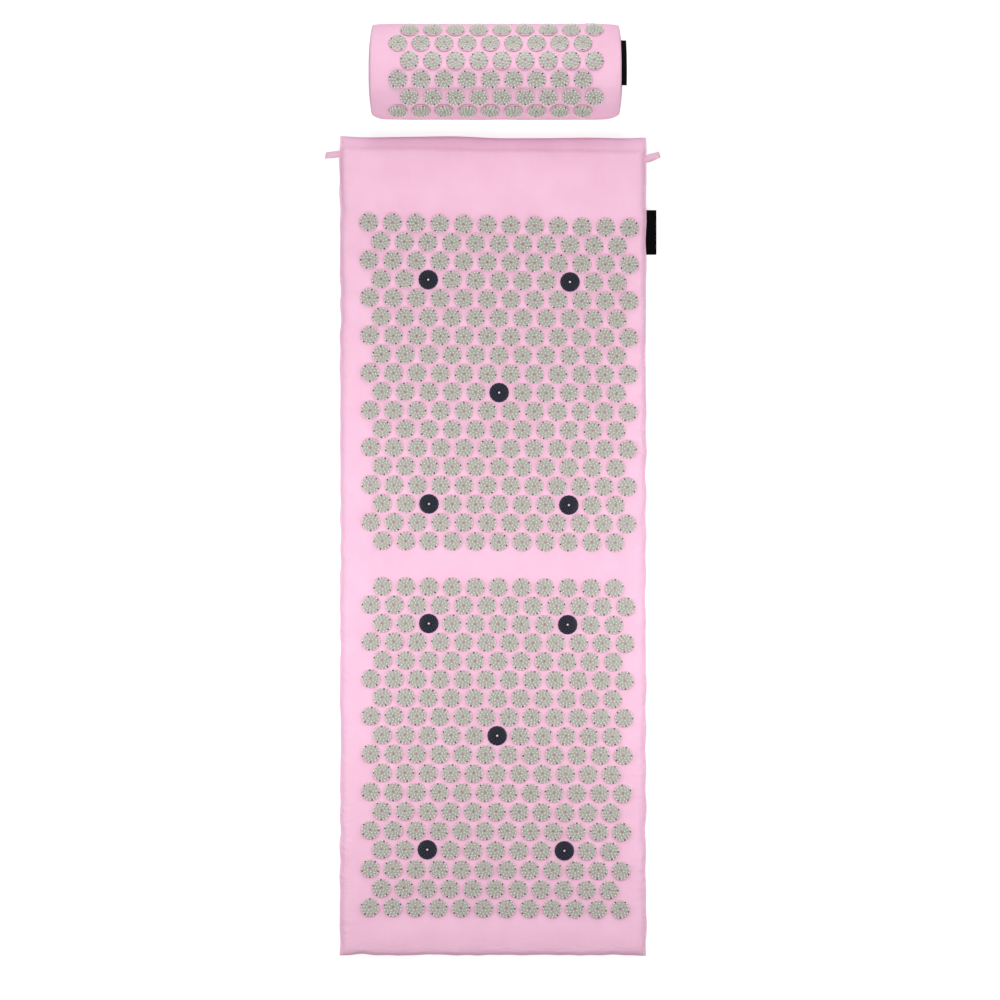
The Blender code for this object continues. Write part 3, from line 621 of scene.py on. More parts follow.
top_z = row_seam[:, None] + (row_top - row_seam)[:, None] * across_share
bottom_z = row_seam[:, None] - (row_seam - row_bottom)[:, None] * across_share
top_points = np.stack([cover_x, top_y, top_z], axis=2)
bottom_points = np.stack([cover_x, cover_y, bottom_z], axis=2)[:, -2:0:-1]
cover_points = np.concatenate([top_points, bottom_points], axis=1)

# %% [markdown]
# The sleeve closes at its two ends when each bottom point takes the number of the top point above it.
# Caps would leave a hard edge there, where cloth is only folded over. The faces are then built from the
# numbers, and points that nothing uses any more are dropped.

# %% The mat's cover as a mesh
cover_index = numbered(cover_points)
for row in (0, -1):
    cover_index[row, len(across_x):] = cover_index[row, len(across_x) - 2:0:-1]
used, cover_numbers = np.unique(cover_index, return_inverse=True)
cover_faces = grid_faces(cover_numbers.reshape(cover_index.shape), wrap=True)[:, ::-1]
cover_uv = grid_uv(cover_points, wrap=True)[:, ::-1]
whole = np.array([len(set(face)) == len(face) for face in cover_faces.tolist()])
mat_cover = make_piece(
    "mat_cover", cover_points.reshape(-1, 3)[used], [cover_faces[whole]], pink_cotton, [cover_uv[whole]]
)
print("mat cover:", whole.sum(), "faces")

# %% [markdown]
# ## Letting the cloth settle
#
# The discs hold the cloth flat, and between them and along the seams it is free. Painted creases would
# stay flat in the light, so a short cloth simulation gives the look of a stuffed cover: a little pressure
# from the foam rounds the free parts, and a strip along the seams is given more cloth than there is room
# for, so it puckers. Points under a disc, on the underside, in the hem and at the foot end are pinned.
# The moves are kept to 2.5 mm.

# %% Cloth simulation
DISC_HOLD = 0.0165
SLACK_REACH = 0.030
SETTLE_FRAMES = 18
LARGEST_MOVE = 0.0025
LARGEST_SINK = 0.0004
CLOTH_SETTINGS = {
    "quality": 4,
    "mass": 0.15,
    "air_damping": 4.0,
    "tension_stiffness": 20.0,
    "compression_stiffness": 20.0,
    "shear_stiffness": 8.0,
    "bending_stiffness": 0.6,
    "vertex_group_mass": "pins",
    "vertex_group_shrink": "slack",
    "shrink_min": 0.0,
    "shrink_max": -0.030,
    "use_pressure": True,
    "uniform_pressure_force": 2.5,
}


def near_any(points, centres, reach):
    """True for each point that lies within reach of any centre."""
    near = np.zeros(len(points), bool)
    for centre in centres:
        near |= ((points - centre) ** 2).sum(axis=1) < reach**2
    return near


def settle(piece, pinned, slack):
    """Runs the cloth simulation on a copy, and moves the piece's own points as far as they may go."""
    copy = piece.copy()
    copy.data = piece.data.copy()
    bpy.context.scene.collection.objects.link(copy)
    pins = copy.vertex_groups.new(name="pins")
    loose = copy.vertex_groups.new(name="slack")
    pins.add(np.flatnonzero(pinned).tolist(), 1.0, "REPLACE")
    for weight in (0.25, 0.5, 0.75, 1.0):
        members = np.flatnonzero(np.round(slack * 4) / 4 == weight)
        loose.add(members.tolist(), weight, "REPLACE")
    cloth = copy.modifiers.new("cloth", "CLOTH")
    for name, value in CLOTH_SETTINGS.items():
        setattr(cloth.settings, name, value)
    cloth.settings.effector_weights.gravity = 0.0
    cloth.collision_settings.use_collision = False
    cloth.point_cache.frame_start = 1
    cloth.point_cache.frame_end = SETTLE_FRAMES
    for number in range(1, SETTLE_FRAMES + 1):
        bpy.context.scene.frame_set(number)
    settled = copy.evaluated_get(bpy.context.evaluated_depsgraph_get()).to_mesh()
    rest = points_of(piece.data)
    move = points_of(settled) - rest
    size = np.linalg.norm(move, axis=1, keepdims=True)
    limited = move * np.minimum(1, LARGEST_MOVE / np.maximum(size, LARGEST_MOVE * MM))
    limited[:, 2] = np.maximum(limited[:, 2], -LARGEST_SINK)
    print(piece.name, "moved up to", round(size.max() / MM, 2), "mm before the limit")
    bpy.data.objects.remove(copy)
    bpy.context.scene.frame_set(1)
    piece.data.vertices.foreach_set("co", (rest + limited).reshape(-1))
    piece.data.update()


NAVY_NODES = sorted(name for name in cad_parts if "navy_disc" in name)
navy_places = np.array([centre_of(node) for node in NAVY_NODES])
all_discs = np.vstack([head_tops, foot_tops, navy_places])
places = points_of(mat_cover.data)
held = near_any(places[:, :2], all_discs[:, :2], DISC_HOLD) & (places[:, 2] > SEAM_HEIGHT)
under = places[:, 2] < SEAM_HEIGHT / 2
in_hem = places[:, 1] > FOAM_END - FOOT_ROUNDING
at_foot = places[:, 1] < FOOT_END + FOOT_ROUNDING / 2
slack = np.clip(1 - (MAT_HALF_WIDTH - np.abs(places[:, 0])) / SLACK_REACH, 0, 1)
settle(mat_cover, held | under | in_hem | at_foot, slack)

# %% [markdown]
# Last, the cover gets the attribute loose, which the cloth's wrinkles read, and a subdivision surface,
# and the panels of the frame that it replaces are hidden.

# %% Finish the cover
LOOSE_REACH = 0.026
HEM_LOOSE_SHARE = 0.4

cover_now = points_of(mat_cover.data)
from_side = MAT_HALF_WIDTH - np.abs(cover_now[:, 0])
from_foot = cover_now[:, 1] - FOOT_END
loose_share = np.clip(1 - np.minimum(from_side, from_foot) / LOOSE_REACH, 0, 1)
in_head_hem = np.clip((cover_now[:, 1] - FOAM_END) / FOOT_ROUNDING, 0, 1)
give_share(mat_cover, "loose", np.maximum(loose_share, HEM_LOOSE_SHARE * in_head_hem))
soften(mat_cover)
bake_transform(mat_cover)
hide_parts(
    "head_top_panel", "head_bottom_panel",
    "fold_top_panel", "fold_bottom_panel",
    "foot_top_panel", "foot_bottom_panel",
)

# %% [markdown]
# ## Foam
#
# Inside the mat is one slab of cream polyurethane foam, cut with a hot wire, so its faces show fine open
# cells. Nobody sees it while the cover is closed, so a plain slab with soft edges is enough. The frame
# has it in three parts, but the real slab is one, so it is one piece here.

# %% Foam
CELL_SIZE = 0.0012
FOAM_INSET = 0.0016


def open_cell_foam(name):
    """Cream foam: a cell pattern gives pores painted darker, as the shade in them, and a rough surface."""
    made, tree = new_material(name)
    place = add(tree, "TexCoord").outputs["Object"]
    cells = add(tree, "TexVoronoi", {"Vector": place, "Scale": 1 / CELL_SIZE}).outputs["Distance"]
    # Painted shade: the pits of the cells are given the darker cream.
    tint = {"Factor": cells, "A": colour("#D9C9A3"), "B": colour("#F4ECD4")}
    pores = {"Height": cells, "Distance": CELL_SIZE / 2, "Strength": 0.6}
    shader = add(tree, "BsdfPrincipled", {
        "Base Color": add(tree, "Mix", tint, data_type="RGBA").outputs[2],
        "Roughness": 0.95,
        "Normal": add(tree, "Bump", pores).outputs[0],
    })
    add(tree, "OutputMaterial", {"Surface": shader.outputs[0]})
    return made


cream_foam = open_cell_foam("cream_foam")
foam_y = rows_y[(rows_y > FOOT_END + FOOT_ROUNDING) & (rows_y < FOAM_END - FOOT_ROUNDING)]
foam_half = MAT_HALF_WIDTH - EDGE_REACH - FOAM_INSET
foam_ring = np.array([
    (foam_half, 0.0), (foam_half - FOAM_INSET, 1.0), (-foam_half + FOAM_INSET, 1.0),
    (-foam_half, 0.0), (-foam_half + FOAM_INSET, -1.0), (foam_half - FOAM_INSET, -1.0),
])
foam_points = np.empty((len(foam_y), len(foam_ring), 3))
foam_points[:, :, 0] = foam_ring[:, 0]
foam_points[:, :, 1] = foam_y[:, None]
foam_points[:, :, 2] = SEAM_HEIGHT + (SEAM_HEIGHT - FOAM_INSET) * foam_ring[:, 1]
mat_foam = make_piece("mat_foam", foam_points, tube_faces(foam_points), cream_foam, sharp_deg=40)
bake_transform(mat_foam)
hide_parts("head_foam", "fold_foam", "foot_foam")

# %% [markdown]
# ## Disc plastic
#
# The discs are injection-moulded from a hard, slightly satin plastic such as ABS. The pale ones are a
# greyish sage, and light and shade are painted into that colour. Their saucers are painted a little darker
# for the shade between the thorns, the thorns lighter, and the thin tips almost white for the light that
# passes through them. The five ejector holes near each rim are painted dark for the shade inside them,
# and the tips of the navy thorns are painted lighter as highlights. Four materials could do that, but one
# that reads two attributes keeps each disc in one piece. The first is 1 at a tip, 0 on the saucer, -1 in
# a hole and in between at a thorn's foot. The second, 1 along the rim, mixes in the rim's colour: on the
# pale discs the cloth's pink, painted on for the cloth seen through the thin plastic, and on the navy
# discs nearly black.

# %% Disc plastic
MOULD_GRAIN = 0.0006


def moulded_plastic(name, body_hex, tip_light_hex, hole_shade_hex, painted_rim_hex, roughness, ior=1.53):
    """Satin moulded plastic, with light and shade painted in by the attributes called zone and rim."""
    made, tree = new_material(name)
    zone = add(tree, "Attribute", attribute_name="zone", attribute_type="GEOMETRY").outputs["Fac"]
    rim = add(tree, "Attribute", attribute_name="rim", attribute_type="GEOMETRY").outputs["Fac"]
    # Painted light and shade: the tip colour lightens the thorns, the hole colour darkens the holes, and the
    # rim colour tints the rim.
    tip_light_share = add(tree, "Math", {0: zone, 1: 0.0}, operation="MAXIMUM").outputs[0]
    depth = add(tree, "Math", {0: zone, 1: -1.0}, operation="MULTIPLY").outputs[0]
    hole_shade_share = add(tree, "Math", {0: depth, 1: 0.0}, operation="MAXIMUM").outputs[0]
    tint = colour(body_hex)
    for share, hex_value in ((rim, painted_rim_hex), (tip_light_share, tip_light_hex), (hole_shade_share, hole_shade_hex)):
        layer = {"Factor": share, "A": tint, "B": colour(hex_value)}
        tint = add(tree, "Mix", layer, data_type="RGBA").outputs[2]
    place = add(tree, "TexCoord").outputs["Object"]
    grain = add(tree, "TexNoise", {"Vector": place, "Scale": 1 / MOULD_GRAIN, "Detail": 2.0}).outputs["Fac"]
    bump = add(tree, "Bump", {"Height": grain, "Distance": MOULD_GRAIN / 10, "Strength": 0.3}).outputs[0]
    shader = add(tree, "BsdfPrincipled", {
        "Base Color": tint, "Roughness": roughness, "IOR": ior, "Normal": bump,
    })
    add(tree, "OutputMaterial", {"Surface": shader.outputs[0]})
    return made


# Pale discs: the saucer is a little darker than the plastic for the shade between the thorns, the tips are
# painted near white for light passing through them, the holes are painted dark for their shade, and the rim
# is painted pink for the cloth seen through it.
sage_plastic = moulded_plastic("sage_abs", "#B5AFAA", "#E9F5E6", "#3E2A33", "#DDB4C5", 0.42)
# Navy discs: the thorn tips are painted lighter, as highlights, and the rim is nearly black.
navy_plastic = moulded_plastic("navy_abs", "#07071F", "#333A55", "#08080C", "#010106", 0.50, ior=1.42)
white_plastic = moulded_plastic("white_acetal", "#F4F4F2", "#FFFFFF", "#B0B0B0", "#F4F4F2", 0.30)

# %% [markdown]
# ## One disc
#
# A disc is a shallow saucer with an open centre and three rings of thorns: 5, 10 and 15. The saucer is a
# profile turned round the middle. A thorn is a four-sided blunt point that leans outwards a little more
# in each ring, and its flat end catches the light as the real rounded one does. The five ejector holes
# are hexagons just above the saucer, painted dark for the shade inside them. Real holes and round thorns
# would look better close up, but with almost fourteen thousand thorns each may have only five faces.

# %% One disc
HOLE_COUNT = 5
HOLE_RADIUS = 0.0015
HOLE_RING = 0.0131
HOLE_SIDES = 6
HOLE_LIFT = 0.0001
SAUCER_COLUMNS = 16
OPEN_CENTRE = 0.0012
# Radius and height
SAUCER = {
    OPEN_CENTRE: 0.0006, 0.0019: 0.0024, 0.0100: 0.0024, 0.0142: 0.0017, 0.0156: 0.0012, 0.0158: -0.0003,
}
# From this radius out, the pale rim is painted pink for the cloth seen through the thin plastic.
RIM_START = 0.0118
# Radius and number of thorns
THORN_RINGS = {0.0044: 5, 0.0085: 10, 0.0124: 15}
THORN_BASE = 0.00150
THORN_TIP = 0.00080
THORN_SIDES = 4
THORN_LEAN = math.radians(15)
THORN_FOOT = 0.0010
# Painted light: how far a thorn's foot is lightened from the saucer's colour towards its near-white tip.
THORN_FOOT_ZONE = 0.45
FIRST_THORN = math.pi / 15


def saucer(profile, columns, scallop=0.0, scallops=16):
    """Points and faces of a profile of radius and height, turned round Z at the given angles."""
    radii = np.array(list(profile))
    heights = np.array(list(profile.values()))
    outer = (radii / radii.max()) ** 8
    reach = radii[:, None] + scallop * outer[:, None] * (np.cos(scallops * columns) - 1)
    points = np.stack([
        reach * np.cos(columns),
        reach * np.sin(columns),
        np.broadcast_to(heights[:, None], reach.shape),
    ], axis=2)
    return points.reshape(-1, 3), grid_faces(numbered(points), wrap=True)[:, ::-1]


def thorns(rings, base, tip, sides, first_angle):
    """Points, wall faces, end faces and zones of all the thorns, each a slanted, blunt pyramid."""
    blocks = []
    for radius, count in rings.items():
        lean = THORN_LEAN * radius / max(rings)
        out = ring(first_angle + around(count))[:, None]
        low = out * radius + [0, 0, THORN_FOOT] + ring(around(sides), base)
        tip_radius = radius + (DISC_HEIGHT - THORN_FOOT) * math.tan(lean)
        high = out * tip_radius + [0, 0, DISC_HEIGHT] + ring(around(sides), tip)
        blocks.append(np.concatenate([low, high], axis=1))
    points = np.concatenate(blocks)
    near = np.arange(sides)
    after = (near + 1) % sides
    wall = np.stack([near, after, after + sides, near + sides], axis=1)
    shift = 2 * sides * np.arange(len(points))[:, None]
    zone = np.tile(np.repeat([THORN_FOOT_ZONE, 1.0], sides), len(points))
    walls = (wall[None] + shift[:, :, None]).reshape(-1, 4)
    return points.reshape(-1, 3), walls, near[None] + sides + shift, zone


def rim_shares(points, zones, start, stop):
    """1 at the outermost radius of the saucer, 0 inside the start radius and on all other parts."""
    from_middle = np.linalg.norm(points[:, :2], axis=1)
    return np.clip((from_middle - start) / (stop - start), 0, 1) * (zones == 0)


def pale_disc():
    """Points, faces with four and six corners, zones and rims of one pale disc, standing on Z = 0."""
    dish, dish_faces = saucer(SAUCER, around(SAUCER_COLUMNS))
    spikes, walls, ends, spike_zone = thorns(THORN_RINGS, THORN_BASE, THORN_TIP, THORN_SIDES, FIRST_THORN)
    # Painted shade: a dark hexagon over each ejector hole, for the shade inside it.
    middles = ring(around(HOLE_COUNT), HOLE_RING, read_off(SAUCER, HOLE_RING) + HOLE_LIFT)
    holes = middles[:, None] + ring(around(HOLE_SIDES), HOLE_RADIUS)
    quads = np.concatenate([dish_faces, walls + len(dish), ends + len(dish)])
    points = np.concatenate([dish, spikes, holes.reshape(-1, 3)])
    hole_faces = numbered(holes) + len(dish) + len(spikes)
    zones = np.concatenate([np.zeros(len(dish)), spike_zone, np.full(hole_faces.size, -1.0)])
    return points, quads, hole_faces, zones, rim_shares(points, zones, RIM_START, max(SAUCER))


disc_points, disc_quads, disc_holes, disc_zone, disc_rim = pale_disc()
print("one disc:", len(disc_quads) + len(disc_holes), "faces")

# %% [markdown]
# ## Fields of discs
#
# Every disc is the same moulding, pushed on by hand at any angle. So each copy is turned by its own
# amount, tipped by up to a degree and a half, and set on its place from the frame. Hundreds of separate
# objects would be slow, so one array holds all the turned copies of a field.

# %% Fields of discs
LARGEST_TIP = math.radians(1.5)
NEAR_Y_SHARE = 0.2
STRAIGHT_UP = np.array([0.0, 0.0, 1.0])


def turned_copies(points, centres, directions, seed):
    """Copies of a disc: each is spun about Z, tipped a little, turned to its direction and moved."""
    draw = np.random.default_rng(seed)
    count = len(centres)
    spin = draw.uniform(0, 2 * np.pi, count)
    tip = LARGEST_TIP * draw.uniform(-1, 1, (count, 2))
    up = unit(directions + np.stack([tip[:, 0], tip[:, 1], np.zeros(count)], axis=1))
    across = np.cross([0.0, 1.0, 0.0], up)
    near_y = np.linalg.norm(across, axis=1) < NEAR_Y_SHARE
    across[near_y] = np.cross(STRAIGHT_UP, up[near_y])
    across = unit(across)
    x, y, z = (points[None, :, side] for side in range(3))
    cos, sin = np.cos(spin)[:, None], np.sin(spin)[:, None]
    heights = np.broadcast_to(z, (count, len(points)))
    local = np.stack([x * cos - y * sin, x * sin + y * cos, heights], axis=2)
    axes = np.stack([across, np.cross(up, across), up], axis=1)
    return np.einsum("cpi,cij->cpj", local, axes) + centres[:, None, :]


def disc_field(name, tops, directions, body, seed):
    """One mesh of many pale discs, which rides on a body of the frame."""
    directions = np.broadcast_to(directions, tops.shape)
    copies = turned_copies(disc_points, tops - DISC_HEIGHT * directions, directions, seed)
    shift = (np.arange(len(tops)) * len(disc_points))[:, None, None]
    quads = (disc_quads[None] + shift).reshape(-1, 4)
    holes = (disc_holes[None] + shift).reshape(-1, HOLE_SIDES)
    made = make_piece(name, copies, [quads, holes], sage_plastic, sharp_deg=55)
    give_share(made, "zone", np.tile(disc_zone, len(tops)))
    give_share(made, "rim", np.tile(disc_rim, len(tops)))
    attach(made, body)


disc_field("head_pale_discs", head_tops, STRAIGHT_UP, "head_half", SEED)
disc_field("foot_pale_discs", foot_tops, STRAIGHT_UP, "foot_half", SEED + 1)
disc_field("pillow_pale_discs", pillow_tops, pillow_directions, "pillow", SEED + 2)

# %% [markdown]
# ## Navy discs
#
# Ten discs are navy, and each has a white plug in its middle. Their rims are scalloped and nearly black,
# and a round boss in the centre holds the plug. The pale disc in another colour would lack all of that.
# They are few, so they get finer columns, and each is a piece of its own.

# %% Navy discs
NAVY_RIM = 0.0157
# From this radius out, the navy rim is darker, nearly black.
NAVY_RIM_START = 0.0130
NAVY_SCALLOPS = 16
NAVY_SCALLOP_DEPTH = 0.0002
NAVY_THORNS = {0.0058: 8, 0.0095: 12, 0.0126: 16}
NAVY_THORN_BASE = 0.0012
NAVY_THORN_TIP = 0.0005
NAVY_THORN_SIDES = 6
PLUG_RADIUS = 0.0017
PLUG_COLUMNS = 20
PLUG = {0.00001: 0.0065, 0.0008: 0.00645, 0.0013: 0.0061, 0.0015: 0.0057, 0.0016: 0.0035}
NAVY_SAUCER = {
    PLUG_RADIUS: 0.0034,
    PLUG_RADIUS + 0.0001: 0.0057,
    0.0029: 0.0057,
    0.0032: 0.0054,
    0.0034: 0.0020,
    0.0085: 0.0019,
    0.0118: 0.0017,
    0.0142: 0.0012,
    NAVY_RIM - 0.0001: 0.0007,
    NAVY_RIM: 0.0001,
}


def turned_piece(name, node, points, faces, zones, finish):
    """A piece that is turned round Z, set on the centre of the node that it replaces."""
    base = centre_of(node)
    base[2] = CLOTH_TOP
    made = make_piece(name, points + base, faces, finish, sharp_deg=50)
    give_share(made, "zone", zones)
    give_share(made, "rim", rim_shares(points, zones, NAVY_RIM_START, NAVY_RIM))
    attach(made, "head_half" if node.startswith("head") else "foot_half")
    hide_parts(node)


navy_draw = np.random.default_rng(SEED + 5)
dish, dish_faces = saucer(NAVY_SAUCER, around(4 * NAVY_SCALLOPS), NAVY_SCALLOP_DEPTH, NAVY_SCALLOPS)
plug, plug_faces = saucer(PLUG, around(PLUG_COLUMNS))
plug_zones = np.zeros(len(plug))
for node in NAVY_NODES:
    spikes, walls, ends, spike_zone = thorns(
        NAVY_THORNS, NAVY_THORN_BASE, NAVY_THORN_TIP, NAVY_THORN_SIDES, navy_draw.uniform(0, 2 * math.pi)
    )
    faces = [dish_faces, walls + len(dish), ends + len(dish)]
    zones = np.concatenate([np.zeros(len(dish)), spike_zone])
    points = np.concatenate([dish, spikes])
    turned_piece(node + "_moulding", node, points, faces, zones, navy_plastic)
    plug_node = node.replace("navy_disc", "disc_plug")
    turned_piece(plug_node + "_cap", plug_node, plug, [plug_faces], plug_zones, white_plastic)

# %% [markdown]
# ## The pillow's cover
#
# The bolster is half round, with a flat base. Each row of rigid discs flattens the cloth under it, so
# the section is a chain of short flats with softened corners, where a true circle would leave the discs
# standing on their middles. The rows of this grid run along the pillow, and its columns from the back of
# the base over the top to the front.

# %% The pillow's section
PILLOW_COLUMNS = 84
PILLOW_FLOOR = 0.0008
FLAT_SHARE = 0.75
CORNER_SOFTNESS = 2.0
SOFT_COLUMNS = 4

row_angles = np.unique(np.round(np.arctan2(pillow_directions[:, 1], pillow_directions[:, 2]), 3))
lowest_angle = math.pi - math.acos((PILLOW_CENTRE_HEIGHT - PILLOW_FLOOR) / PILLOW_RADIUS)
section_angle = np.linspace(lowest_angle, -lowest_angle, PILLOW_COLUMNS + 1)
half_step = np.diff(row_angles).mean() / 2
from_flat = np.abs(section_angle[:, None] - row_angles[None, :]).min(axis=1)
flat_rise = PILLOW_RADIUS / np.cos(np.minimum(from_flat, half_step)) - PILLOW_RADIUS
section_reach = PILLOW_RADIUS + FLAT_SHARE * flat_rise * np.clip(2 - from_flat / half_step, 0, 1)
kernel = np.exp(-0.5 * (np.arange(-SOFT_COLUMNS, SOFT_COLUMNS + 1) / CORNER_SOFTNESS) ** 2)
padded_reach = np.pad(section_reach, SOFT_COLUMNS, mode="edge")
section_reach = np.convolve(padded_reach, kernel / kernel.sum(), mode="valid")
section_z = PILLOW_AXIS[2] + section_reach * np.cos(section_angle)
print("rows of discs on the pillow:", len(row_angles), "angles", np.degrees(row_angles).round(1))

# %% [markdown]
# Along the pillow the section stays the same until the last few millimetres, where the cover is drawn in
# to the seam of its end panel. From above, the seam bows outwards in the middle and its corners are
# rounded, because the end panel is stuffed as well. The two corners next to the mat are the roundest.
# At the back the cover is recessed a little, where the zip is sewn in. All of it is taken off the reach
# of the section before the points are made, so that no later step has to find the corners again.

# %% The pillow's cover as a grid
PILLOW_ROWS = 64
END_DRAW = 0.0016
END_ROUND = 0.007
END_BOW = 0.0046
END_CORNER = 0.0090
FRONT_DRAW = 0.0042
FRONT_ROUND = 0.0075
ZIP_RECESS = 0.0010
ZIP_MARGIN_UP = 0.001
ZIP_MARGIN_ALONG = 0.004
RIPPLE = 0.0005

cover_low, cover_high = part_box("pillow_cover")
zip_low, zip_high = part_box("pillow_zip_tape_upper")
zip_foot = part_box("pillow_zip_tape_lower")[0].z
end_half = (cover_high.x - cover_low.x) / 2
end_middle = (cover_high.x + cover_low.x) / 2
along = np.linspace(-1, 1, PILLOW_ROWS + 1)[:, None]
steepness = np.clip(np.abs(section_angle) / lowest_angle, 0, 1)
end_shape = END_BOW * np.cos(section_angle) - END_CORNER * steepness**6
cover_px = end_middle + (end_half + end_shape * np.abs(along) ** 3) * along
to_end = (1 - np.abs(along)) * end_half
facing_mat = np.clip(-np.sin(section_angle), 0, 1) ** 4
drawn = END_DRAW * np.exp(-to_end / END_ROUND) + FRONT_DRAW * np.exp(-to_end / FRONT_ROUND) * facing_mat
at_zip = (section_z > zip_foot - ZIP_MARGIN_UP) & (section_z < zip_high.z + ZIP_MARGIN_UP)
zip_rows = at_zip & (section_angle > 0)
zip_run = (cover_px > zip_low.x - ZIP_MARGIN_ALONG) & (cover_px < zip_high.x + ZIP_MARGIN_ALONG)
long_wander = waves(SEED + 7, 5, 0.05, 0.30)
ripple = RIPPLE * long_wander(cover_px) * np.clip(np.abs(section_angle) - row_angles.max(), 0, 1)
reach_grid = section_reach - drawn - ZIP_RECESS * (zip_rows & zip_run) + ripple
pillow_grid = np.stack([
    cover_px,
    PILLOW_AXIS[1] + reach_grid * np.sin(section_angle),
    np.maximum(PILLOW_AXIS[2] + reach_grid * np.cos(section_angle), PILLOW_FLOOR),
], axis=2)
pillow_faces = grid_faces(numbered(pillow_grid))
pillow_wrap = make_piece(
    "pillow_cover_cloth", pillow_grid, [pillow_faces], pink_cotton, [grid_uv(pillow_grid)]
)

# %% [markdown]
# This cloth settles as the mat's does, held by its discs, at its two end seams and below the zip. Until
# here it is a sheet without thickness, because one layer is what the simulation needs.

# %% Settle the pillow's cover and hand it over
PILLOW_HOLD = 0.0168
END_HOLD = 0.001
ZIP_HOLD = 0.002
CLOTH_WALL = 0.0006

places = points_of(pillow_wrap.data)
from_end = end_half - np.abs(places[:, 0] - end_middle)
held = near_any(places, pillow_tops - DISC_HEIGHT * pillow_directions, PILLOW_HOLD)
low = places[:, 2] < zip_high.z + ZIP_HOLD
settle(pillow_wrap, held | (from_end < END_HOLD) | low, np.clip(1 - from_end / SLACK_REACH, 0, 1))
pillow_now = points_of(pillow_wrap.data).reshape(pillow_grid.shape)
soften(pillow_wrap)
add_wall(pillow_wrap, CLOTH_WALL)
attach(pillow_wrap, "pillow")
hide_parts("pillow_cover")

# %% [markdown]
# ## The pillow's ends
#
# Each end is a D-shaped panel that bulges a few millimetres. It could be a dome cut to shape, but then
# its edge would have to be matched to the cover. Its points run from the cover's own end row in to a
# line above the base instead, so the seam fits exactly.

# %% The pillow's ends
END_RINGS = 10
END_BULGE = 0.0052
BULGE_POWER = 2.5
END_MIDDLE_SHARE = 0.45
LAST_RING_SHARE = 0.02
SEAM_PINCH = 0.0006


def end_panel(name, outline, outwards, node):
    """A D-shaped panel that domes outwards from one end row of the cover."""
    middle = np.array([outline[:, 0].mean(), PILLOW_AXIS[1], outline[:, 2].max() * END_MIDDLE_SHARE])
    share = np.linspace(1, LAST_RING_SHARE, END_RINGS + 1)[:, None]
    rings = middle + (outline[None] - middle) * share[:, :, None]
    rise = END_BULGE * (1 - share**BULGE_POWER)
    rise[0] -= SEAM_PINCH
    rings[:, :, 0] = outline[:, 0] * share**2 + middle[0] * (1 - share**2) + outwards * rise
    index = numbered(rings)
    uv = rings[:, :, 1:]
    faces, cap = grid_faces(index, wrap=True), index[-1][None, :]
    places, cap_places = grid_faces(uv, wrap=True), uv[-1][None]
    if outwards < 0:
        faces, cap, places, cap_places = (part[:, ::-1] for part in (faces, cap, places, cap_places))
    made = make_piece(name, rings, [faces, cap], pink_cotton, [places, cap_places])
    add_wall(made, CLOTH_WALL)
    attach(made, "pillow")
    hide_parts(node)


end_panel("pillow_end_cloth_left", pillow_now[0], -1, "pillow_end_left")
end_panel("pillow_end_cloth_right", pillow_now[-1], 1, "pillow_end_right")

# %% [markdown]
# The base panel is flat cloth. Its grid is made of straight lines between the two lower edges of the
# cover, so there is no gap at the corners, as a plain rectangle would leave. The core is a foam bolster:
# the cover's own grid, drawn together a little. It is hidden, so every third or fourth line will do.

# %% The pillow's base and core
BASE_ROWS = 24
CORE_GAP = 0.0030
CORE_ROW_STEP = 4
CORE_COLUMN_STEP = 3

share = np.linspace(0, 1, BASE_ROWS)[:, None, None]
base_grid = (pillow_now[None, :, 0] * (1 - share) + pillow_now[None, :, -1] * share).transpose(1, 0, 2)
base_grid[:, :, 2] = 0.0
base_faces = grid_faces(numbered(base_grid))[:, ::-1]
pillow_base = make_piece(
    "pillow_base_cloth", base_grid, [base_faces], pink_cotton, [grid_uv(base_grid)[:, ::-1]]
)
add_wall(pillow_base, PILLOW_FLOOR)
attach(pillow_base, "pillow")
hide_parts("pillow_base_panel")

core_centre = np.array([end_middle, PILLOW_AXIS[1], PILLOW_RADIUS / 2])
core_share = 1 - CORE_GAP / PILLOW_RADIUS
core_grid = core_centre + (pillow_now[::CORE_ROW_STEP, ::CORE_COLUMN_STEP] - core_centre) * core_share
core_grid[:, :, 2] = np.maximum(core_grid[:, :, 2], 2 * PILLOW_FLOOR)
core_faces = [block[:, ::-1] for block in tube_faces(core_grid)]
pillow_core = make_piece("pillow_foam", core_grid, core_faces, cream_foam, sharp_deg=40)
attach(pillow_core, "pillow")
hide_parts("pillow_core")

# %% [markdown]
# ## Loops and labels
#
# Both are tape: a thin rectangle with rounded edges, carried along a path. A curve with a bevel does the
# same, but it twists where the path turns, so here the width always lies along one given axis.

# %% A section carried along a path
def tape_section(width, thickness):
    """A closed, rounded rectangle, as places across the width and the thickness."""
    half, thin = width / 2, thickness / 2
    return np.array([
        (-half, 0), (-half + thin, thin), (0, thin), (half - thin, thin),
        (half, 0), (half - thin, -thin), (0, -thin), (-half + thin, -thin),
    ])


def carried(section, path, width_axis):
    """Sets a flat section on every point of a path, square to it, with its width along one axis."""
    ahead = unit(np.gradient(path, axis=0))
    normal = unit(np.cross(ahead, width_axis))
    return path[:, None, :] + section[None, :, :1] * width_axis + section[None, :, 1:] * normal[:, None, :]


def tape_piece(name, grid, finish, node, body):
    """A closed tube of tape from a grid, which replaces a node."""
    cap_uv = np.zeros((1, grid.shape[1], 2))
    uv = [grid_uv(grid, wrap=True)[:, ::-1], cap_uv, cap_uv]
    made = make_piece(name, grid, tube_faces(grid), finish, uv, sharp_deg=60)
    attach(made, body)
    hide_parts(node)


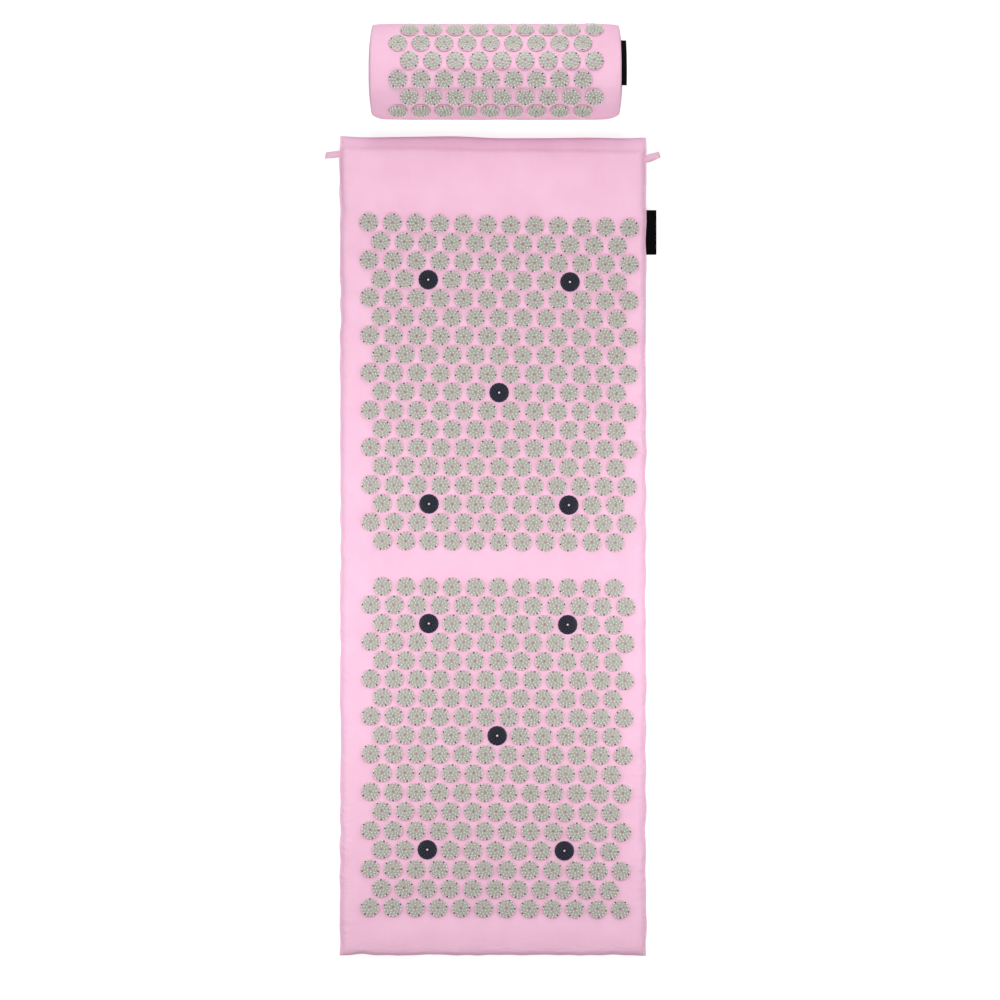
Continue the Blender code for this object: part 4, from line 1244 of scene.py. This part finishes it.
# %% [markdown]
# A hanging loop is a length of twill tape, folded once and sewn into the side seam by both ends. The two
# tails are pinched together in the seam and open towards the fold. The left one hangs a little, and the
# right one stands out at an angle, so both come from one function with a few numbers each.

# %% Hanging loops
LOOP_WIDTH = 0.0100
LOOP_THICKNESS = 0.0008
LOOP_REACH = 0.0228
LOOP_HALF_HEIGHT = 0.0030
LOOP_INSIDE = 0.0020
LOOP_TURN_POINTS = 13
LOOP_TAIL_POINTS = 7
PINCH_REACH = 0.008
PINCH_LEAST_SHARE = 0.12
PINCH_POWER = 0.7


def hanging_loop(name, node, side, turn_deg, droop, slant, splay):
    """A folded tape with two tails inside the side seam. It starts where the node's own root is.

    slant moves one edge of the fold further out than the other, and splay moves the two tails apart
    along the seam.
    """
    low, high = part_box(node)
    sweep = np.linspace(math.pi / 2, -math.pi / 2, LOOP_TURN_POINTS)
    fold_x = LOOP_REACH - LOOP_HALF_HEIGHT
    tail = np.linspace(-LOOP_INSIDE, fold_x, LOOP_TAIL_POINTS + 1)[:-1]
    x = np.concatenate([tail, LOOP_REACH - LOOP_HALF_HEIGHT * (1 - np.cos(sweep)), tail[::-1]])
    pinched = np.clip(tail / PINCH_REACH, PINCH_LEAST_SHARE, 1) ** PINCH_POWER
    z = LOOP_HALF_HEIGHT * np.concatenate([pinched, np.sin(sweep), -pinched[::-1]])
    z = z + droop * (np.clip(x, 0, None) / LOOP_REACH) ** 2
    turn = math.radians(turn_deg)
    outward = np.array([side * math.cos(turn), math.sin(turn), 0.0])
    width_axis = np.array([-side * math.sin(turn), math.cos(turn), 0.0])
    tip_side = math.copysign(1, turn_deg)
    root_y = (low.y if turn_deg > 0 else high.y) + tip_side * LOOP_WIDTH / 2 * math.cos(turn)
    root = np.array([side * MAT_HALF_WIDTH, root_y, SEAM_HEIGHT])
    out_share = np.clip(x / LOOP_REACH, 0, 1)[:, None]
    apart = splay * (z / LOOP_HALF_HEIGHT)[:, None] * (1 - out_share)
    path = root + x[:, None] * outward + z[:, None] * STRAIGHT_UP + apart * width_axis
    section = tape_section(LOOP_WIDTH, LOOP_THICKNESS)
    grid = carried(section, path, width_axis)
    grid += slant * out_share[:, :, None] * section[None, :, :1] * outward
    tape_piece(name, grid, pink_tape, node, "head_half")


hanging_loop("loop_tape_left", "hang_loop_left", -1, turn_deg=-6.0, droop=-0.0015, slant=-0.28, splay=0.0006)
hanging_loop("loop_tape_right", "hang_loop_right", 1, turn_deg=20.0, droop=0.0, slant=0.05, splay=0.0020)

# %% [markdown]
# The labels are black woven tape, also folded once, so each is a flat tab with a round fold at its outer
# edge. They stay bare. The mat's label sticks straight out of the side seam with a slight curl. The
# pillow's label follows the curved seam of the end panel and leans outwards by 45 degrees.

# %% Labels
LABEL_THICKNESS = 0.0011
LABEL_INSIDE = 0.0025
LABEL_POINTS = 25
LABEL_CURL = 0.0004
TAB_INSIDE = 0.0008
TAB_PAST_BOX = 0.0010
TAB_DROOP = math.radians(45)
SEAM_TOP_REACH = 1.2


def label_tab(name, node, path, reach, width_axis, body):
    """A flat tab along a path, as wide as the label stands out of its seam."""
    section = tape_section(reach, LABEL_THICKNESS)
    section[:, 0] += reach / 2
    tape_piece(name, carried(section, path, width_axis), black_label, node, body)


label_low, label_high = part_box("mat_label")
label_y = np.linspace(label_low.y, label_high.y, LABEL_POINTS)
label_curl = waves(SEED + 8, 3, 0.04, 0.12)
label_path = np.stack([
    np.full(LABEL_POINTS, label_low.x - LABEL_INSIDE),
    label_y,
    (label_low.z + label_high.z) / 2 + LABEL_CURL * label_curl(label_y),
], axis=1)
label_reach = label_high.x - label_low.x + LABEL_INSIDE
label_tab("mat_label_tab", "mat_label", label_path, label_reach, np.array([1.0, 0.0, 0.0]), "head_half")

tab_low, tab_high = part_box("pillow_label")
tab_y = np.linspace(tab_low.y, tab_high.y, LABEL_POINTS)
tab_out = np.array([math.cos(TAB_DROOP), 0.0, -math.sin(TAB_DROOP)])
end_seam = pillow_now[-1][np.abs(section_angle) < SEAM_TOP_REACH][::-1]
tab_x = np.interp(tab_y, end_seam[:, 1], end_seam[:, 0]) - TAB_INSIDE
tab_z = np.interp(tab_y, end_seam[:, 1], end_seam[:, 2]) - TAB_INSIDE
tab_path = np.stack([tab_x, tab_y, tab_z], axis=1)
tab_reach = (tab_high.x + TAB_PAST_BOX - tab_x.mean()) / math.cos(TAB_DROOP)
label_tab("pillow_label_tab", "pillow_label", tab_path, tab_reach, tab_out, "pillow")
print("pillow label: out of the seam by", round(tab_reach / MM, 1), "mm")

# %% [markdown]
# ## Zips
#
# Each cover opens with a nylon coil zip, on the underside of the mat's hem and low on the pillow's back.
# The tapes, stops, sliders and pulls are small and plain, so they keep their shapes from the frame and
# only get real finishes: nickel plate on cast zinc, which is bright with a fine haze from polishing, and
# a ribbed tape. Neither has a UV map, so both patterns run on the object's own coordinates.

# %% Zip finishes
HAZE_SCALE = 900.0
RIB_SPACING = 0.0009


def plated_metal(name):
    """Nickel-plated zinc: bright, with fine polishing haze."""
    made, tree = new_material(name)
    place = add(tree, "TexCoord").outputs["Object"]
    haze = add(tree, "TexNoise", {"Vector": place, "Scale": HAZE_SCALE, "Detail": 3.0}).outputs["Fac"]
    shader = add(tree, "BsdfPrincipled", {
        "Base Color": colour("#C9C7C3"),
        "Metallic": 1.0,
        "Roughness": add(tree, "MapRange", {"Value": haze, "To Min": 0.18, "To Max": 0.36}).outputs[0],
    })
    add(tree, "OutputMaterial", {"Surface": shader.outputs[0]})
    return made


def ribbed_tape(name, light_hex, deep_hex):
    """Herringbone-like tape: a wave gives the ribs their height, and paints the low part of each darker as
    the shade in its groove.
    """
    made, tree = new_material(name)
    place = add(tree, "TexCoord").outputs["Object"]
    wave = {"Vector": place, "Scale": 1 / (RIB_SPACING * WAVE_CYCLES)}
    ribs = add(tree, "TexWave", wave, bands_direction="DIAGONAL").outputs["Fac"]
    # Painted shade: where the ribs are low, the tape gets the deeper pink.
    tint = {"Factor": ribs, "A": colour(deep_hex), "B": colour(light_hex)}
    raised = {"Height": ribs, "Distance": RIB_SPACING / 8, "Strength": 0.5}
    shader = add(tree, "BsdfPrincipled", {
        "Base Color": add(tree, "Mix", tint, data_type="RGBA").outputs[2],
        "Roughness": 0.8,
        "Normal": add(tree, "Bump", raised).outputs[0],
    })
    add(tree, "OutputMaterial", {"Surface": shader.outputs[0]})
    return made


nickel = plated_metal("nickel_plated_zinc")
zip_tape = ribbed_tape("pink_zip_tape", "#EFB4D0", "#DE9BBD")
nylon = moulded_plastic("pink_nylon_coil", "#E9A9C8", "#F3C4DA", "#C07A9C", "#E9A9C8", 0.35)
for name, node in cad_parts.items():
    if "zip_tape" in name:
        node.data.materials.clear()
        node.data.materials.append(zip_tape)
    elif any(word in name for word in ("zip_slider", "zip_pull", "zip_stop")):
        node.data.materials.clear()
        node.data.materials.append(nickel)

# %% [markdown]
# The coil is new. A real one is a wound thread, which would need very many faces, so it is a row of
# small tapered teeth that reach in from both sides in turn. The node's own solid gives its two ends, its
# slant and its width.

# %% Zip coils
TOOTH_PITCH = 0.0015
TOOTH_WIDTH_SHARE = 0.80
TOOTH_ROOT = -0.5
TOOTH_END = 0.12
TOOTH_TAPER = 0.7


def zip_coil(name, node, body):
    """Teeth in two rows that mesh: small tapered blocks, in turn from one side and from the other."""
    corners = np.unique(np.round(triangles_of(node).reshape(-1, 3), 6), axis=0)
    start, stop = corners[:, 0].min(), corners[:, 0].max()
    end = corners[corners[:, 0] < start + TOUCH]
    middle = end.mean(axis=0)
    edges = end[:, None] - end[None]
    spans = np.linalg.norm(edges, axis=2)
    thick, wide = np.unique(np.round(spans[spans > TOUCH], 6))[:2]
    pair = np.argwhere(np.abs(spans - wide) < TOUCH)[0]
    across = edges[pair[0], pair[1]] / wide
    out = np.cross([1.0, 0.0, 0.0], across)
    count = int((stop - start) / TOOTH_PITCH)
    tooth_x = start + (np.arange(count) + 0.5) * (stop - start) / count
    hand = np.where(np.arange(count) % 2 == 0, 1.0, -1.0)
    tooth = np.array([(along, reach, rise) for reach in (TOOTH_ROOT, TOOTH_END) for along, rise in (
        (-0.5, -0.5), (0.5, -0.5), (0.5, 0.5), (-0.5, 0.5)
    )])
    tooth[4:, [0, 2]] *= TOOTH_TAPER
    local = tooth[None] * np.array([TOOTH_PITCH * TOOTH_WIDTH_SHARE, wide, thick])
    local = local * np.stack([np.ones(count), hand, np.ones(count)], axis=1)[:, None, :]
    middles = np.stack([tooth_x, np.full(count, middle[1]), np.full(count, middle[2])], axis=1)
    points = middles[:, None, :] + local @ np.array([(1.0, 0.0, 0.0), across, out])
    sides = np.array([(0, 1, 5, 4), (1, 2, 6, 5), (2, 3, 7, 6), (3, 0, 4, 7), (3, 2, 1, 0), (4, 5, 6, 7)])
    faces = sides[None] + len(tooth) * np.arange(count)[:, None, None]
    faces[hand > 0] = faces[hand > 0][:, :, ::-1]
    made = make_piece(name, points, [faces.reshape(-1, 4)], nylon, sharp_deg=30)
    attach(made, body)
    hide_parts(node)


zip_coil("mat_zip_coil_teeth", "mat_zip_coil", "head_half")
zip_coil("pillow_zip_coil_teeth", "pillow_zip_coil", "pillow")
